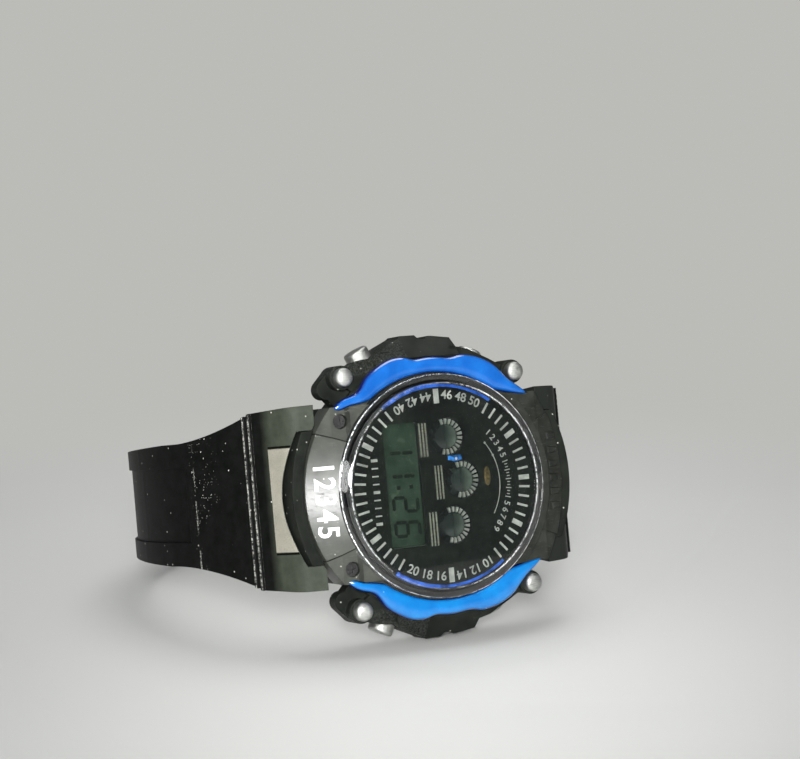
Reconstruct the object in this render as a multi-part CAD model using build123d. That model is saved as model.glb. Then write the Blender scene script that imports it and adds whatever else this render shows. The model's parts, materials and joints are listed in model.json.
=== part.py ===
from build123d import *
import os
from math import atan2, cos, degrees, radians, sin, sqrt, tan

# A digital watch with a round window, two blue crescents and a resin strap, in millimetres.
# Each piece is drawn in the watch's own frame: X points to 3 o'clock, Y to 12 o'clock and
# Z out of the dial, with Z zero on the case back. At the end every piece is turned to the
# pose in which the buckled watch lies on its 3 o'clock side.

# Clearances and overrun of the cutting tools
seat_gap = 0.05
running_gap = 0.05
moving_gap = 0.35
overrun = 2.0

# Case
case_radius = 19.2
case_bottom = 0.3
case_top = 7.4
bore_radius = 14.0
glass_radius = 16.5
collar_top = 8.6
end_radius = 22.7
end_half_width = 9.7
end_top = 7.6
lip_width = 1.7
end_shoulder_radius = end_radius - lip_width
end_shoulder_half_width = 12.8
end_shoulder_top = 5.2
guard_reach = 22.6
guard_top = 8.3
guard_bottom = 1.2
guard_edge_level = 5.6
# Guard outline at 3 o'clock from its 6 o'clock end, as shares of the guard's reach
guard_shares = [(0.779, -0.367), (0.854, -0.367), (0.894, -0.327), (0.934, -0.261), (0.987, -0.146),
                (1.0, -0.128), (1.0, -0.022), (0.973, -0.004), (0.969, 0.035), (0.989, 0.071),
                (0.989, 0.093), (0.969, 0.221), (0.898, 0.239), (0.779, 0.239)]
# Hoods over the two pushers of a side, as shares of the case radius
hood_shares = [(0.86, 0.22), (1.07, 0.22), (1.06, 0.29), (1.04, 0.37), (1.0, 0.45), (0.95, 0.55),
               (0.91, 0.62), (0.88, 0.72), (0.78, 0.72), (0.75, 0.6)]
low_hood_shares = [(0.86, -0.3), (1.06, -0.3), (1.06, -0.4), (1.02, -0.45), (1.01, -0.54), (0.99, -0.63),
                   (0.95, -0.7), (0.86, -0.74), (0.75, -0.6)]
hood_top = 7.6

# Pegs and their sockets
peg_radius = 1.4
peg_top = 9.9
peg_bottom = 5.6
peg_rounding = 0.35
socket_wall = 0.4
socket_bottom = 4.2
socket_top = 8.2
peg_low_x = 17.0
peg_low_y = -13.9
peg_high_x = 16.0
peg_high_y = 14.0
lobe_radius = 1.5
lobe_x = 15.5
lobe_y = -15.7
lobe_top = 6.6
# Web from the case to the low socket: points as shares of the case radius
web_shares = [(0.62, -0.72), (0.78, -0.86), (0.867, -0.868), (0.957, -0.783), (0.98, -0.72), (0.9, -0.44),
              (0.68, -0.47)]

# Pushers, their sleeves, clips and seals
button_angle = 25.0
button_level = 4.2
button_radius = 1.9
button_rounding = 0.4
button_stand_six = 3.9
button_stand_twelve = 2.7
button_travel = 0.8
button_floor_radius = 18.2
stem_radius = 0.7
neck_share = 0.7
clip_mouth_share = 0.6
stem_end_radius = 12.6
clip_radius = 1.25
clip_thickness = 0.3
clip_seat_radius = 13.6
seal_radius = 1.25
seal_length = 0.8
seal_seat_radius = 16.2
sleeve_radius = 2.6
sleeve_reach = 20.3

# Back cover, gaskets and back screws
cover_radius = 17.3
cover_thickness = 1.0
cover_rounding = 0.33
cover_screw_circle = 15.9
cover_screw_head_radius = 0.9
cover_screw_head_height = 0.5
cover_screw_radius = 0.5
cover_screw_length = 3.2
gasket_inner = 14.3
gasket_width = 0.5
gasket_height = 0.6

# Movement, from the back cover to the dial
module_radius = 13.8
frame_radius = 13.0
holder_bottom = 2.0
board_bottom = 4.4
board_thickness = 0.8
battery_radius = 5.8
battery_height = 2.1
battery_rounding = 0.35
battery_x = 2.0
battery_y = -1.0
battery_clip_thickness = 0.25
battery_clip_width = 4.0
battery_clip_reach = 8.2
notch_radius = 1.7
notch_floor_radius = 10.9
display_shift = -0.6
lcd_length = 18.4
lcd_width = 7.0
lcd_thickness = 1.6
lcd_y = -6.1
connector_width = 1.6
connector_length = 17.0
light_size = 1.4
light_height = 0.6
light_well_radius = 2.0
contact_width = 1.4
contact_thickness = 0.25
contact_height = 1.6
buzzer_radius = 8.5
buzzer_thickness = 0.3

# Dial
dial_level = 10.0
dial_thickness = 0.6
dial_radius = 15.0
window_length = 18.0
window_width = 5.5
window_y = -6.3
window_rounding = 0.4
eye_radius = 2.8
eye_x = 6.5
eye_y = 1.1
eye_middle_y = 3.1
eye_dome = 0.3
guide_thickness = 0.8

# Glass
glass_top = 11.3
glass_dome = 0.35
dome_half_share = 0.75
glass_rim_top = 10.6
glass_bevel_radius = 15.1
glass_under = 10.4
glass_gasket_height = 0.4
glass_gasket_width = 1.2

# Bezel and crescents
bezel_ledge = 8.4
bezel_ring_radius = 17.8
bezel_ring_top = 10.2
bezel_base_radius = 18.9
slope_start = 16.7
slope_level = 10.0
slope_angle = 24.0
plate_drop = 0.4
plate_inner_half_width = 7.7
plate_outer_half_width = 9.9
plate_inner_y = 14.5
crescent_top = 9.75
crescent_bevel = 0.3
crescent_inner = 16.75
# Outer edge of the 3 o'clock crescent, as shares of the glass radius, from its 6 o'clock tail
crescent_shares = [(0.757, -0.968), (0.8, -0.925), (0.848, -0.845), (0.873, -0.757), (0.925, -0.69),
                   (0.993, -0.645), (1.05, -0.585), (1.105, -0.5), (1.15, -0.405), (1.17, -0.31),
                   (1.166, -0.24), (1.147, -0.175), (1.152, -0.06), (1.153, 0.07), (1.142, 0.22),
                   (1.158, 0.315), (1.15, 0.39), (1.125, 0.49), (1.085, 0.58), (1.025, 0.665),
                   (0.955, 0.73), (0.89, 0.795), (0.829, 0.88), (0.76, 0.955)]
crescent_tail_shares = [(0.747, -0.9), (0.769, -0.83), (0.787, -0.72)]
crescent_tip_shares = [(0.795, 0.7), (0.767, 0.82)]
crescent_low_angle = -37.0
crescent_high_angle = 36.0
bezel_screw_x = 10.7
bezel_screw_y = -15.2
bezel_screw_radius = 0.95
bezel_screw_height = 0.6
bezel_screw_recess = 0.5
bezel_screw_shank_radius = 0.5
bezel_screw_length = 3.0
bezel_screw_hole_radius = 1.1
cross_length = 1.2
cross_width = 0.28
cross_depth = 0.3

# Strap: half widths down the loop, the run of its outer face, and its layers
strap_inset = 4.5
strap_start_y = end_radius - strap_inset
strap_start_level = 7.0
strap_start_heading = 12.0
strap_bend = 48.0
shoulder_top_run = 2.2
shoulder_bend_run = 3.0
shoulder_slope_run = 5.4
strap_thickness = 2.6
tail_thickness = 2.4
layer_gap = 0.3
heel_level = 0.4
heel_inset = 1.9
heel_y = end_radius - heel_inset
side_run_upper = 11.0
side_run_lower = 21.0
side_turn_upper = 8.0
side_turn_lower = 22.0
shoulder_half_width = 13.6
ridge_half_width = 13.0
ridge_level = 0.1
waist_half_width = 9.4
waist_level = -20.0
waist_bow_half_width = 10.5
waist_bow_level = -7.6
tail_half_width = 8.4
tail_level = -50.0
short_radius_side = 32.2
short_straight = 12.0
short_radius_low = 23.0
quarter_turn = 45.0
pin_inset = 2.4
pin_y = end_radius - pin_inset
pin_level = 3.2
pin_radius = 0.75
pin_half_length = 13.3
panel_half_width = 7.9
panel_depth = 0.8
panel_proud = 0.1
panel_gap = 0.1
panel_end_margin = 2.8
rib_radius = 0.4
rib_spacing = 1.1
channel_depth = 0.45
channel_half_width = 5.7
channel_start = 26.0
channel_end_margin = 9.0
hole_length = 4.4
hole_width = 2.2
hole_pitch = 6.4
holes_before_bar = 6
holes_after_bar = 1
tail_beyond_bar = 14.0
tail_tip_radius = 9.0

# Buckle and keeper
bar_radius = 0.75
barrel_radius = 1.9
bar_overhang = 0.8
frame_inner_half_width = 8.8
frame_side_width = 2.1
frame_ear_radius = 1.5
frame_bar_radius = 1.1
frame_reach = 12.5
tongue_half_width = 1.0
tongue_ring_radius = 1.55
tongue_wire_radius = 0.6
tongue_slot_half_width = 1.35
tongue_rise = 5.6
tongue_tip_overhang = 0.9
keeper_wall = 1.1
keeper_length = 5.0
keeper_station = 6.0


def block(low, high):
    """Box from its lowest to its highest corner."""
    size = [h - l for l, h in zip(low, high)]
    middle = [(h + l) / 2 for l, h in zip(low, high)]
    return Pos(*middle) * Box(*size)


def disc(radius, bottom, top, x=0, y=0):
    """Upright cylinder between two levels."""
    return Pos(x, y, (bottom + top) / 2) * Cylinder(radius, top - bottom)


def ring(outer, inner, bottom, top):
    """Upright tube between two levels."""
    return disc(outer, bottom, top) - disc(inner, bottom - overrun, top + overrun)


def cross_pin(radius, half_length, y, z):
    """Cylinder along X."""
    return Pos(0, y, z) * Rot(0, 90, 0) * Cylinder(radius, 2 * half_length)


def prism(points, bottom, top):
    """Upright prism over a closed outline."""
    return Pos(0, 0, bottom) * extrude(make_face(Polyline(*points, close=True)), top - bottom)


def flip(shape):
    """The same piece on the 9 o'clock side."""
    return mirror(shape, about=Plane.YZ)


def turn_end(shape):
    """The same piece at the 12 o'clock end."""
    return mirror(shape, about=Plane.XZ)


# The strap follows a chain of tangent runs in the YZ plane. A run is a length and a turn.


def outward(side, heading):
    """Normal of the strap's outer face at a heading below the horizontal."""
    return (side * sin(radians(heading)), cos(radians(heading)))


def travel(side, point, heading, length, turn):
    """Where a run ends, and its heading there."""
    y, z = point
    if turn == 0:
        ahead = length
        drift = 0
    else:
        radius = length / radians(turn)
        ahead = radius * sin(radians(turn))
        drift = radius * (1 - cos(radians(turn)))
    down = radians(heading)
    step_y = side * (cos(down) * ahead - sin(down) * drift)
    step_z = -sin(down) * ahead - cos(down) * drift
    return (y + step_y, z + step_z), heading + turn


def station(runs, side, distance):
    """Point and heading on the outer face at a distance from the case."""
    point = (side * strap_start_y, strap_start_level)
    heading = strap_start_heading
    for length, turn in runs:
        share = min(1, max(0, distance / length))
        if share < 1:
            return travel(side, point, heading, distance, turn * share)
        point, heading = travel(side, point, heading, length, turn)
        distance = distance - length
    return point, heading


def offset_point(runs, side, distance, offset):
    (y, z), heading = station(runs, side, distance)
    normal_y, normal_z = outward(side, heading)
    return (0, y + normal_y * offset, z + normal_z * offset)


def face_edges(runs, side, first, last, offset):
    """Edges of one face of the strap between two distances."""
    edges = []
    passed = 0
    for length, turn in runs:
        begin = max(first, passed)
        end = min(last, passed + length)
        passed = passed + length
        if end - begin < seat_gap:
            continue
        points = [offset_point(runs, side, s, offset) for s in (begin, (begin + end) / 2, end)]
        if turn == 0:
            edges.append(Line(points[0], points[2]))
        else:
            edges.append(ThreePointArc(*points))
    return edges


def band(runs, side, first, last, outer, inner, half_width):
    """Strip of strap between two distances, two offsets and two sides."""
    top = face_edges(runs, side, first, last, outer)
    bottom = face_edges(runs, side, first, last, inner)
    ends = [Line(top[0] @ 0, bottom[0] @ 0), Line(top[-1] @ 1, bottom[-1] @ 1)]
    face = Face(Wire(top + bottom + ends))
    return extrude(face, half_width, dir=(1, 0, 0), both=True)


shoulder_runs = [(shoulder_top_run, 0), (shoulder_bend_run, strap_bend), (shoulder_slope_run, 0),
                 (side_run_upper, side_turn_upper), (side_run_lower, side_turn_lower)]
shoulder_length = shoulder_top_run + shoulder_bend_run + shoulder_slope_run
side_length = shoulder_length + side_run_upper + side_run_lower
short_runs = shoulder_runs + [(short_radius_side * radians(quarter_turn), quarter_turn),
                              (short_straight, 0),
                              (short_radius_low * radians(quarter_turn), quarter_turn)]
bar_station = side_length + short_radius_side * radians(quarter_turn) + short_straight - bar_overhang
layer = layer_gap + tail_thickness
quarter_down = sin(radians(quarter_turn))
quarter_across = 1 - cos(radians(quarter_turn))
side_end_y = station(shoulder_runs, 1, side_length)[0][0]
# How far the long half crosses and drops until it lies one layer under the short half's line
loop_across = (2 * side_end_y - quarter_across * short_radius_side
               - quarter_down * (short_straight + short_radius_low))
loop_drop = (quarter_down * (short_radius_side + short_straight) + quarter_across * short_radius_low
             + layer)
loop_spread = quarter_down ** 2 - quarter_across ** 2
loop_radius_outer = (quarter_down * loop_drop - quarter_across * loop_across) / loop_spread
loop_radius_low = (quarter_down * loop_across - quarter_across * loop_drop) / loop_spread
long_straight_start = (side_length + (loop_radius_outer + loop_radius_low) * radians(quarter_turn)
                       + (short_radius_low + layer) * radians(quarter_turn))
long_runs = shoulder_runs + [(loop_radius_outer * radians(quarter_turn), quarter_turn),
                             (loop_radius_low * radians(quarter_turn), quarter_turn),
                             ((short_radius_low + layer) * radians(quarter_turn), quarter_turn),
                             (short_straight, 0),
                             ((short_radius_side + layer) * radians(quarter_turn), quarter_turn)]
tongue_station = long_straight_start + bar_overhang
tip_station = tongue_station + tail_beyond_bar
frame_outer = frame_inner_half_width + frame_side_width
strap_clear_radius = short_radius_low + layer + moving_gap + frame_bar_radius
frame_lift = (barrel_radius - short_radius_low
              + sqrt(strap_clear_radius ** 2 - (frame_reach - bar_overhang) ** 2))


def strap_outline():
    """Taper of the strap: a block over both halves, cut to their widths at each level."""
    top = strap_start_level + overrun
    bottom = tail_level * 2
    side = [Line((shoulder_half_width, 0, top), (ridge_half_width, 0, ridge_level)),
            ThreePointArc((ridge_half_width, 0, ridge_level), (waist_bow_half_width, 0, waist_bow_level),
                          (waist_half_width, 0, waist_level)),
            Line((waist_half_width, 0, waist_level), (tail_half_width, 0, tail_level)),
            Line((tail_half_width, 0, tail_level), (tail_half_width, 0, bottom))]
    other = [edge.mirror(Plane.YZ) for edge in side]
    ends = [Line((-shoulder_half_width, 0, top), (shoulder_half_width, 0, top)),
            Line((-tail_half_width, 0, bottom), (tail_half_width, 0, bottom))]
    face = Face(Wire(side + other + ends))
    return extrude(face, 2 * end_radius, dir=(0, 1, 0), both=True)


def shoulder_heel(side):
    """Thick root of the strap, round the spring bar."""
    top = face_edges(short_runs, side, 0, shoulder_length, 0)
    inner = offset_point(short_runs, side, shoulder_length, -strap_thickness)
    under = (0, side * heel_y, heel_level - seat_gap)
    back = (0, side * strap_start_y, heel_level)
    lines = [Line(top[-1] @ 1, inner), Line(inner, under), Line(under, back), Line(back, top[0] @ 0)]
    return extrude(Face(Wire(top + lines)), shoulder_half_width, dir=(1, 0, 0), both=True)


def lug_cut():
    """Space in the strap's root for the lug of the case."""
    lug = disc(end_radius + moving_gap, -overrun, strap_start_level + overrun)
    width = end_half_width + seat_gap * 2
    return lug & block((-width, -2 * end_radius, -overrun), (width, 2 * end_radius, 2 * case_top))


def case_clearance():
    """Space in the strap's root for the round flank of the case."""
    return disc(end_shoulder_radius + seat_gap, -overrun, 2 * case_top)


def panel_body(side, proud):
    """Pale inlay of a shoulder, hollowed towards the case."""
    body = band(short_runs, side, shoulder_top_run, shoulder_length - panel_end_margin, proud,
                -panel_depth, panel_half_width)
    return body - disc(end_radius + moving_gap + panel_gap, -overrun, strap_start_level + overrun)


def cross_ribs(runs, side):
    """Pair of ribs across the strap below the shoulder."""
    ribs = None
    for index in range(2):
        _, y, z = offset_point(runs, side, shoulder_length + rib_radius + index * rib_spacing, 0)
        rib = cross_pin(rib_radius, shoulder_half_width, y, z)
        ribs = rib if ribs is None else ribs + rib
    return ribs


def strap_root(runs, side, last, thickness):
    """Strap half from the case to a distance, without its holes."""
    strap = shoulder_heel(side) + band(runs, side, shoulder_length, last, 0, -thickness,
                                       shoulder_half_width)
    strap = (strap + cross_ribs(runs, side)) & strap_outline()
    strap = strap - lug_cut() - case_clearance() - panel_body(side, overrun)
    return strap - cross_pin(pin_radius + seat_gap, shoulder_half_width * 2, side * pin_y, pin_level)


def face_plane(runs, side, distance, offset):
    """Plane on the strap's outer face: X along the strap, Z out of it."""
    origin = offset_point(runs, side, distance, offset)
    _, heading = station(runs, side, distance)
    normal_y, normal_z = outward(side, heading)
    along = (0, side * cos(radians(heading)), -sin(radians(heading)))
    return Plane(origin=origin, x_dir=along, z_dir=(0, normal_y, normal_z))


def strap_long():
    strap = strap_root(long_runs, -1, tip_station, tail_thickness)
    strap = strap - band(long_runs, -1, channel_start, tip_station - channel_end_margin, overrun,
                         -channel_depth, channel_half_width)
    centre_shift = (hole_length - hole_width) / 2 + tongue_wire_radius - hole_width / 2
    for index in range(-holes_before_bar, holes_after_bar + 1):
        plane = face_plane(long_runs, -1, tongue_station + centre_shift + index * hole_pitch, 0)
        slot = SlotOverall(hole_length, hole_width)
        strap = strap - plane * extrude(slot, strap_thickness + overrun, both=True)
    tip_plane = face_plane(long_runs, -1, tip_station - tail_tip_radius, 0)
    beyond = Pos(tail_tip_radius, 0, 0) * Box(2 * tail_tip_radius, 4 * tail_half_width, tail_tip_radius)
    corner = beyond - Cylinder(tail_tip_radius, 2 * tail_tip_radius)
    return strap - tip_plane * corner


def bar_place():
    """Plane at the buckle bar: X along the strap away from the case, Z out of the strap."""
    return face_plane(short_runs, 1, bar_station, -barrel_radius)


def across(shape):
    """Turns a shape drawn along Z so that it lies across the strap."""
    return Rot(90, 0, 0) * shape


def strap_short():
    strap = strap_root(short_runs, 1, bar_station, strap_thickness)
    barrel = across(Cylinder(barrel_radius, 2 * tail_half_width))
    slot = block((-2 * barrel_radius, -tongue_slot_half_width, -2 * barrel_radius),
                 (2 * barrel_radius, tongue_slot_half_width, 2 * barrel_radius))
    bore = across(Cylinder(bar_radius, 2 * frame_outer))
    return strap + bar_place() * barrel - bar_place() * slot - bar_place() * bore


def spring_bars():
    bars = [cross_pin(pin_radius, pin_half_length, side * pin_y, pin_level) for side in (-1, 1)]
    return bars[0] + bars[1]


def bar_link(first, last, radius, half_width):
    """Rounded bar between two points of the buckle's side view."""
    run = last[0] - first[0]
    rise = last[1] - first[1]
    length = sqrt(run ** 2 + rise ** 2)
    slot = extrude(SlotCenterToCenter(length, 2 * radius), half_width, both=True)
    middle = Pos((first[0] + last[0]) / 2, 0, (first[1] + last[1]) / 2)
    return middle * Rot(0, -degrees(atan2(rise, run)), 0) * across(slot)


def buckle_frame():
    far = Pos(frame_reach, 0, frame_lift) * across(Cylinder(frame_bar_radius, 2 * frame_outer))
    side_middle = (frame_inner_half_width + frame_outer) / 2
    arm = bar_link((0, 0), (frame_reach, frame_lift), frame_bar_radius, frame_side_width / 2)
    ear = across(Cylinder(frame_ear_radius, frame_side_width))
    side = arm + ear - across(Cylinder(bar_radius + running_gap, 2 * frame_side_width))
    frame = far + Pos(0, side_middle, 0) * side + Pos(0, -side_middle, 0) * side
    return bar_place() * frame


def buckle_tongue():
    tip_level = frame_lift + frame_bar_radius + tongue_wire_radius + seat_gap
    knee = (0, tongue_rise)
    tip = (frame_reach + tongue_tip_overhang, tip_level)
    tongue = across(Cylinder(tongue_ring_radius, 2 * tongue_half_width))
    tongue = tongue + bar_link((0, tongue_ring_radius / 2), knee, tongue_wire_radius, tongue_half_width)
    tongue = tongue + bar_link(knee, tip, tongue_wire_radius, tongue_half_width)
    return bar_place() * (tongue - across(Cylinder(bar_radius + 2 * running_gap, 4 * tongue_half_width)))


def buckle_bar():
    return bar_place() * across(Cylinder(bar_radius, 2 * frame_outer))


def keeper():
    plane = face_plane(short_runs, 1, bar_station - keeper_station, 0)
    low = -strap_thickness - moving_gap
    high = layer + moving_gap
    half = tail_half_width + moving_gap
    hollow = block((-keeper_length, -half, low), (keeper_length, half, high))
    shell = block((-keeper_length / 2, -half - keeper_wall, low - keeper_wall),
                  (keeper_length / 2, half + keeper_wall, high + keeper_wall))
    return plane * (fillet(shell.edges().filter_by(Axis.X), keeper_wall) - hollow)


def button_place(side, end):
    """Plane at a pusher: Z outward along its axis, origin on the watch's centre line."""
    angle = radians(button_angle)
    direction = (side * cos(angle), end * sin(angle), 0)
    return Plane(origin=(0, 0, button_level), x_dir=(0, 0, 1), z_dir=direction)


button_sides = {"start": (1, 1), "reset": (1, -1), "mode": (-1, -1), "light": (-1, 1)}


def along_axis(radius, first, last):
    """Cylinder on a pusher's axis between two distances from the watch's centre."""
    return Pos(0, 0, (first + last) / 2) * Cylinder(radius, last - first)


def button_reach(end):
    """How far a pusher reaches from the watch's centre at the 12 or the 6 o'clock end."""
    return case_radius + (button_stand_twelve if end > 0 else button_stand_six)


def button(side, end):
    reach = button_reach(end)
    cap = along_axis(button_radius, button_floor_radius + button_travel + seat_gap, reach)
    cap = fillet(cap.edges().group_by(Axis.Z)[-1], button_rounding)
    stem = along_axis(stem_radius, stem_end_radius, reach - button_radius)
    groove = along_axis(stem_radius, clip_seat_radius - clip_thickness, clip_seat_radius)
    groove = groove - along_axis(stem_radius * neck_share, stem_end_radius, clip_seat_radius + overrun)
    return button_place(side, end) * (cap + stem - groove)


def button_clip(side, end):
    clip = along_axis(clip_radius, clip_seat_radius - clip_thickness, clip_seat_radius)
    clip = clip - along_axis(stem_radius * neck_share, stem_end_radius, clip_seat_radius + overrun)
    mouth_half = stem_radius * clip_mouth_share
    mouth = block((0, -mouth_half, stem_end_radius), (clip_radius * 2, mouth_half, case_radius))
    return button_place(side, end) * (clip - mouth)


def button_seals():
    seals = None
    for side, end in button_sides.values():
        seal = along_axis(seal_radius, seal_seat_radius, seal_seat_radius + seal_length)
        seal = seal - along_axis(stem_radius + running_gap, seal_seat_radius - overrun, case_radius)
        seal = button_place(side, end) * seal
        seals = seal if seals is None else seals + seal
    return seals


def button_holes():
    """Sleeves to cut through the case for the four pushers."""
    holes = []
    for side, end in button_sides.values():
        hole = along_axis(button_radius + running_gap, button_floor_radius, button_reach(end) + overrun)
        hole = hole + along_axis(stem_radius + running_gap, bore_radius - overrun, case_radius)
        hole = hole + along_axis(seal_radius, seal_seat_radius, seal_seat_radius + seal_length)
        hole = hole + along_axis(clip_radius + moving_gap, bore_radius - overrun,
                                 clip_seat_radius + moving_gap)
        holes.append(button_place(side, end) * hole)
    return holes


def guard():
    """Guard at 3 o'clock: a stepped block with a bevelled front."""
    body = prism(scaled(guard_shares, guard_reach), guard_bottom, guard_top)
    bevel = [(case_radius, 0, guard_top + seat_gap), (guard_reach + overrun, 0, guard_top + seat_gap),
             (guard_reach + overrun, 0, guard_edge_level), (guard_reach, 0, guard_edge_level)]
    cut = extrude(make_face(Polyline(*bevel, close=True)), case_radius, dir=(0, 1, 0), both=True)
    return body - cut


def hoods():
    """Roofs over the two pushers on the 3 o'clock side."""
    roof_bottom = button_level + button_radius + moving_gap
    high = prism(scaled(hood_shares, case_radius), roof_bottom, hood_top)
    return high + prism(scaled(low_hood_shares, case_radius), roof_bottom, hood_top)


def sockets():
    """Peg sockets and the lobe beside the low one, on the 3 o'clock side."""
    wall = peg_radius + socket_wall
    low = disc(wall, socket_bottom, socket_top, peg_low_x, peg_low_y)
    high = disc(wall, socket_bottom, socket_top, peg_high_x, peg_high_y)
    lobe = disc(lobe_radius, socket_bottom, lobe_top, lobe_x, lobe_y)
    return low + high + lobe


def peg(x, y):
    body = disc(peg_radius, peg_bottom, peg_top, x, y)
    return fillet(body.edges().group_by(Axis.Z)[-1], peg_rounding)


def bezel_pegs():
    pegs = peg(peg_low_x, peg_low_y) + peg(peg_high_x, peg_high_y)
    return pegs + flip(pegs)


def end_block(radius, half_width, bottom, top):
    """Both ends of a round block that is cut straight at its sides."""
    return disc(radius, bottom, top) & block((-half_width, -radius, bottom), (half_width, radius, top))


def web():
    """Wall that joins the low socket to the case."""
    return prism(scaled(web_shares, case_radius), socket_bottom, lobe_top)


def screw_holes(radius, first, last):
    """Holes of the four back screws."""
    places = PolarLocations(cover_screw_circle, 4, start_angle=45)
    hole = Pos(0, 0, (first + last) / 2) * Cylinder(radius, last - first)
    return [place * hole for place in places]


def bezel_screw_places():
    return [Pos(side * bezel_screw_x, bezel_screw_y, 0) for side in (-1, 1)]


screw_head_top = slope_level - plate_drop - bezel_screw_recess
screw_head_bottom = screw_head_top - bezel_screw_height
screw_tip = screw_head_bottom - bezel_screw_length


def peg_holes():
    holes = disc(peg_radius, peg_bottom, case_top * 2, peg_low_x, peg_low_y)
    return holes + disc(peg_radius, peg_bottom, case_top * 2, peg_high_x, peg_high_y)


def case_body():
    body = disc(case_radius, case_bottom, case_top)
    side = guard() + hoods() + sockets() + web()
    body = body + side + flip(side)
    for button_side, button_end in button_sides.values():
        sleeve = along_axis(sleeve_radius, bore_radius + overrun, sleeve_reach)
        body = body + button_place(button_side, button_end) * sleeve
    body = body + end_block(end_shoulder_radius, end_shoulder_half_width, guard_bottom, end_shoulder_top)
    lip = end_block(end_radius, end_half_width, guard_bottom, end_top)
    body = body + (lip - disc(end_shoulder_radius + seat_gap, end_shoulder_top, end_top + overrun))
    body = body - disc(case_radius, case_top, case_top * 2)
    body = body + disc(glass_radius, case_top - seat_gap, collar_top)
    body = body - disc(bore_radius, -overrun, case_top + overrun)
    body = body - disc(cover_radius + seat_gap, -overrun, cover_thickness)
    body = body - ring(gasket_inner + gasket_width, gasket_inner, cover_thickness - overrun,
                       cover_thickness + gasket_height)
    for end in (-1, 1):
        body = body - cross_pin(pin_radius + seat_gap, end_shoulder_half_width * 2, end * pin_y, pin_level)
    body = body - peg_holes() - flip(peg_holes())
    for hole in button_holes() + screw_holes(cover_screw_radius, 0, cover_screw_length):
        body = body - hole
    for place in bezel_screw_places():
        body = body - place * disc(bezel_screw_shank_radius, screw_tip, case_top + overrun)
    return body


def back_cover():
    cover = disc(cover_radius, 0, cover_thickness)
    cover = fillet(cover.edges().group_by(Axis.Z)[0], cover_rounding)
    for hole in screw_holes(cover_screw_radius, -overrun, cover_thickness + overrun):
        cover = cover - hole
    for hole in screw_holes(cover_screw_head_radius, -overrun, cover_screw_head_height):
        cover = cover - hole
    return cover


def joined(pieces):
    """Several separate solids as one node."""
    whole = pieces[0]
    for piece in pieces[1:]:
        whole = whole + piece
    return whole


def cross_slot(top, depth):
    """Cross recess of a screw head, cut down from a level."""
    low = -cross_length / 2
    thin = cross_width / 2
    first = block((low, -thin, top - depth), (-low, thin, top + depth))
    return first + block((-thin, low, top - depth), (thin, -low, top + depth))


def back_screws():
    heads = screw_holes(cover_screw_head_radius, seat_gap, cover_screw_head_height)
    shanks = screw_holes(cover_screw_radius, cover_screw_head_height, cover_screw_length)
    slots = [place * cross_slot(0, cross_depth) for place in PolarLocations(cover_screw_circle, 4, 45)]
    return joined([head + shank - slot for head, shank, slot in zip(heads, shanks, slots)])


def back_gasket():
    return ring(gasket_inner + gasket_width, gasket_inner, cover_thickness, cover_thickness + gasket_height)


def buzzer_disc():
    return disc(buzzer_radius, cover_thickness, cover_thickness + buzzer_thickness)


def notches():
    """Room in the movement for the pushers' stems, clips and contacts."""
    notch = along_axis(notch_radius, notch_floor_radius, module_radius + overrun)
    return joined([button_place(side, end) * notch for side, end in button_sides.values()])


board_top = board_bottom + board_thickness
module_top = dial_level - dial_thickness
lcd_bottom = module_top - lcd_thickness
guide_bottom = module_top - guide_thickness


def battery_holder():
    holder = disc(frame_radius, holder_bottom, board_bottom)
    pocket_radius = battery_radius + seat_gap
    return holder - disc(pocket_radius, 0, board_bottom + overrun, battery_x, battery_y) - notches()


def battery():
    cell = disc(battery_radius, board_bottom - battery_height, board_bottom, battery_x, battery_y)
    return fillet(cell.edges().group_by(Axis.Z)[0], battery_rounding)


def battery_clip():
    low = (battery_x - battery_clip_reach, battery_y - battery_clip_width / 2,
           holder_bottom - battery_clip_thickness)
    high = (battery_x + battery_clip_reach, battery_y + battery_clip_width / 2, holder_bottom)
    return block(low, high)


def circuit_board():
    return disc(frame_radius, board_bottom, board_top) - notches()


def switch_contacts():
    """Four leaf contacts that the pushers' stems reach."""
    leaf = Pos(0, 0, notch_floor_radius + contact_thickness / 2)
    leaf = leaf * Box(contact_height, contact_width, contact_thickness)
    return joined([button_place(side, end) * leaf for side, end in button_sides.values()])


def eye_places():
    return [Pos(display_shift - eye_x, eye_y, 0), Pos(display_shift, eye_middle_y, 0),
            Pos(display_shift + eye_x, eye_y, 0)]


def lights():
    light = Pos(0, 0, board_top + light_height / 2) * Box(light_size, light_size, light_height)
    return joined([place * light for place in eye_places()])


def lcd_block(bottom, top, grow):
    """Space of the display between two levels, larger by a margin all round."""
    low = (display_shift - lcd_length / 2 - grow, lcd_y - lcd_width / 2 - grow, bottom)
    high = (display_shift + lcd_length / 2 + grow, lcd_y + lcd_width / 2 + grow, top)
    return block(low, high)


def connector_block(grow):
    """Rubber strip that joins the display to the board, larger by a margin all round."""
    start = lcd_y - lcd_width / 2
    low = (display_shift - connector_length / 2 - grow, start - grow, board_top)
    high = (display_shift + connector_length / 2 + grow, start + connector_width + grow, lcd_bottom)
    return block(low, high)


def guide_block(grow):
    """Plate of the light guide, larger by a margin all round."""
    half = eye_x + eye_radius + seat_gap
    low = (display_shift - half - grow, lcd_y + lcd_width / 2 + 2 * seat_gap - grow, guide_bottom)
    high = (display_shift + half + grow, eye_middle_y + eye_radius + grow, module_top)
    return block(low, high)


def light_guide():
    eye = disc(eye_radius - seat_gap, guide_bottom, dial_level - eye_dome)
    return joined([guide_block(0)] + [place * eye for place in eye_places()])


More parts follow.
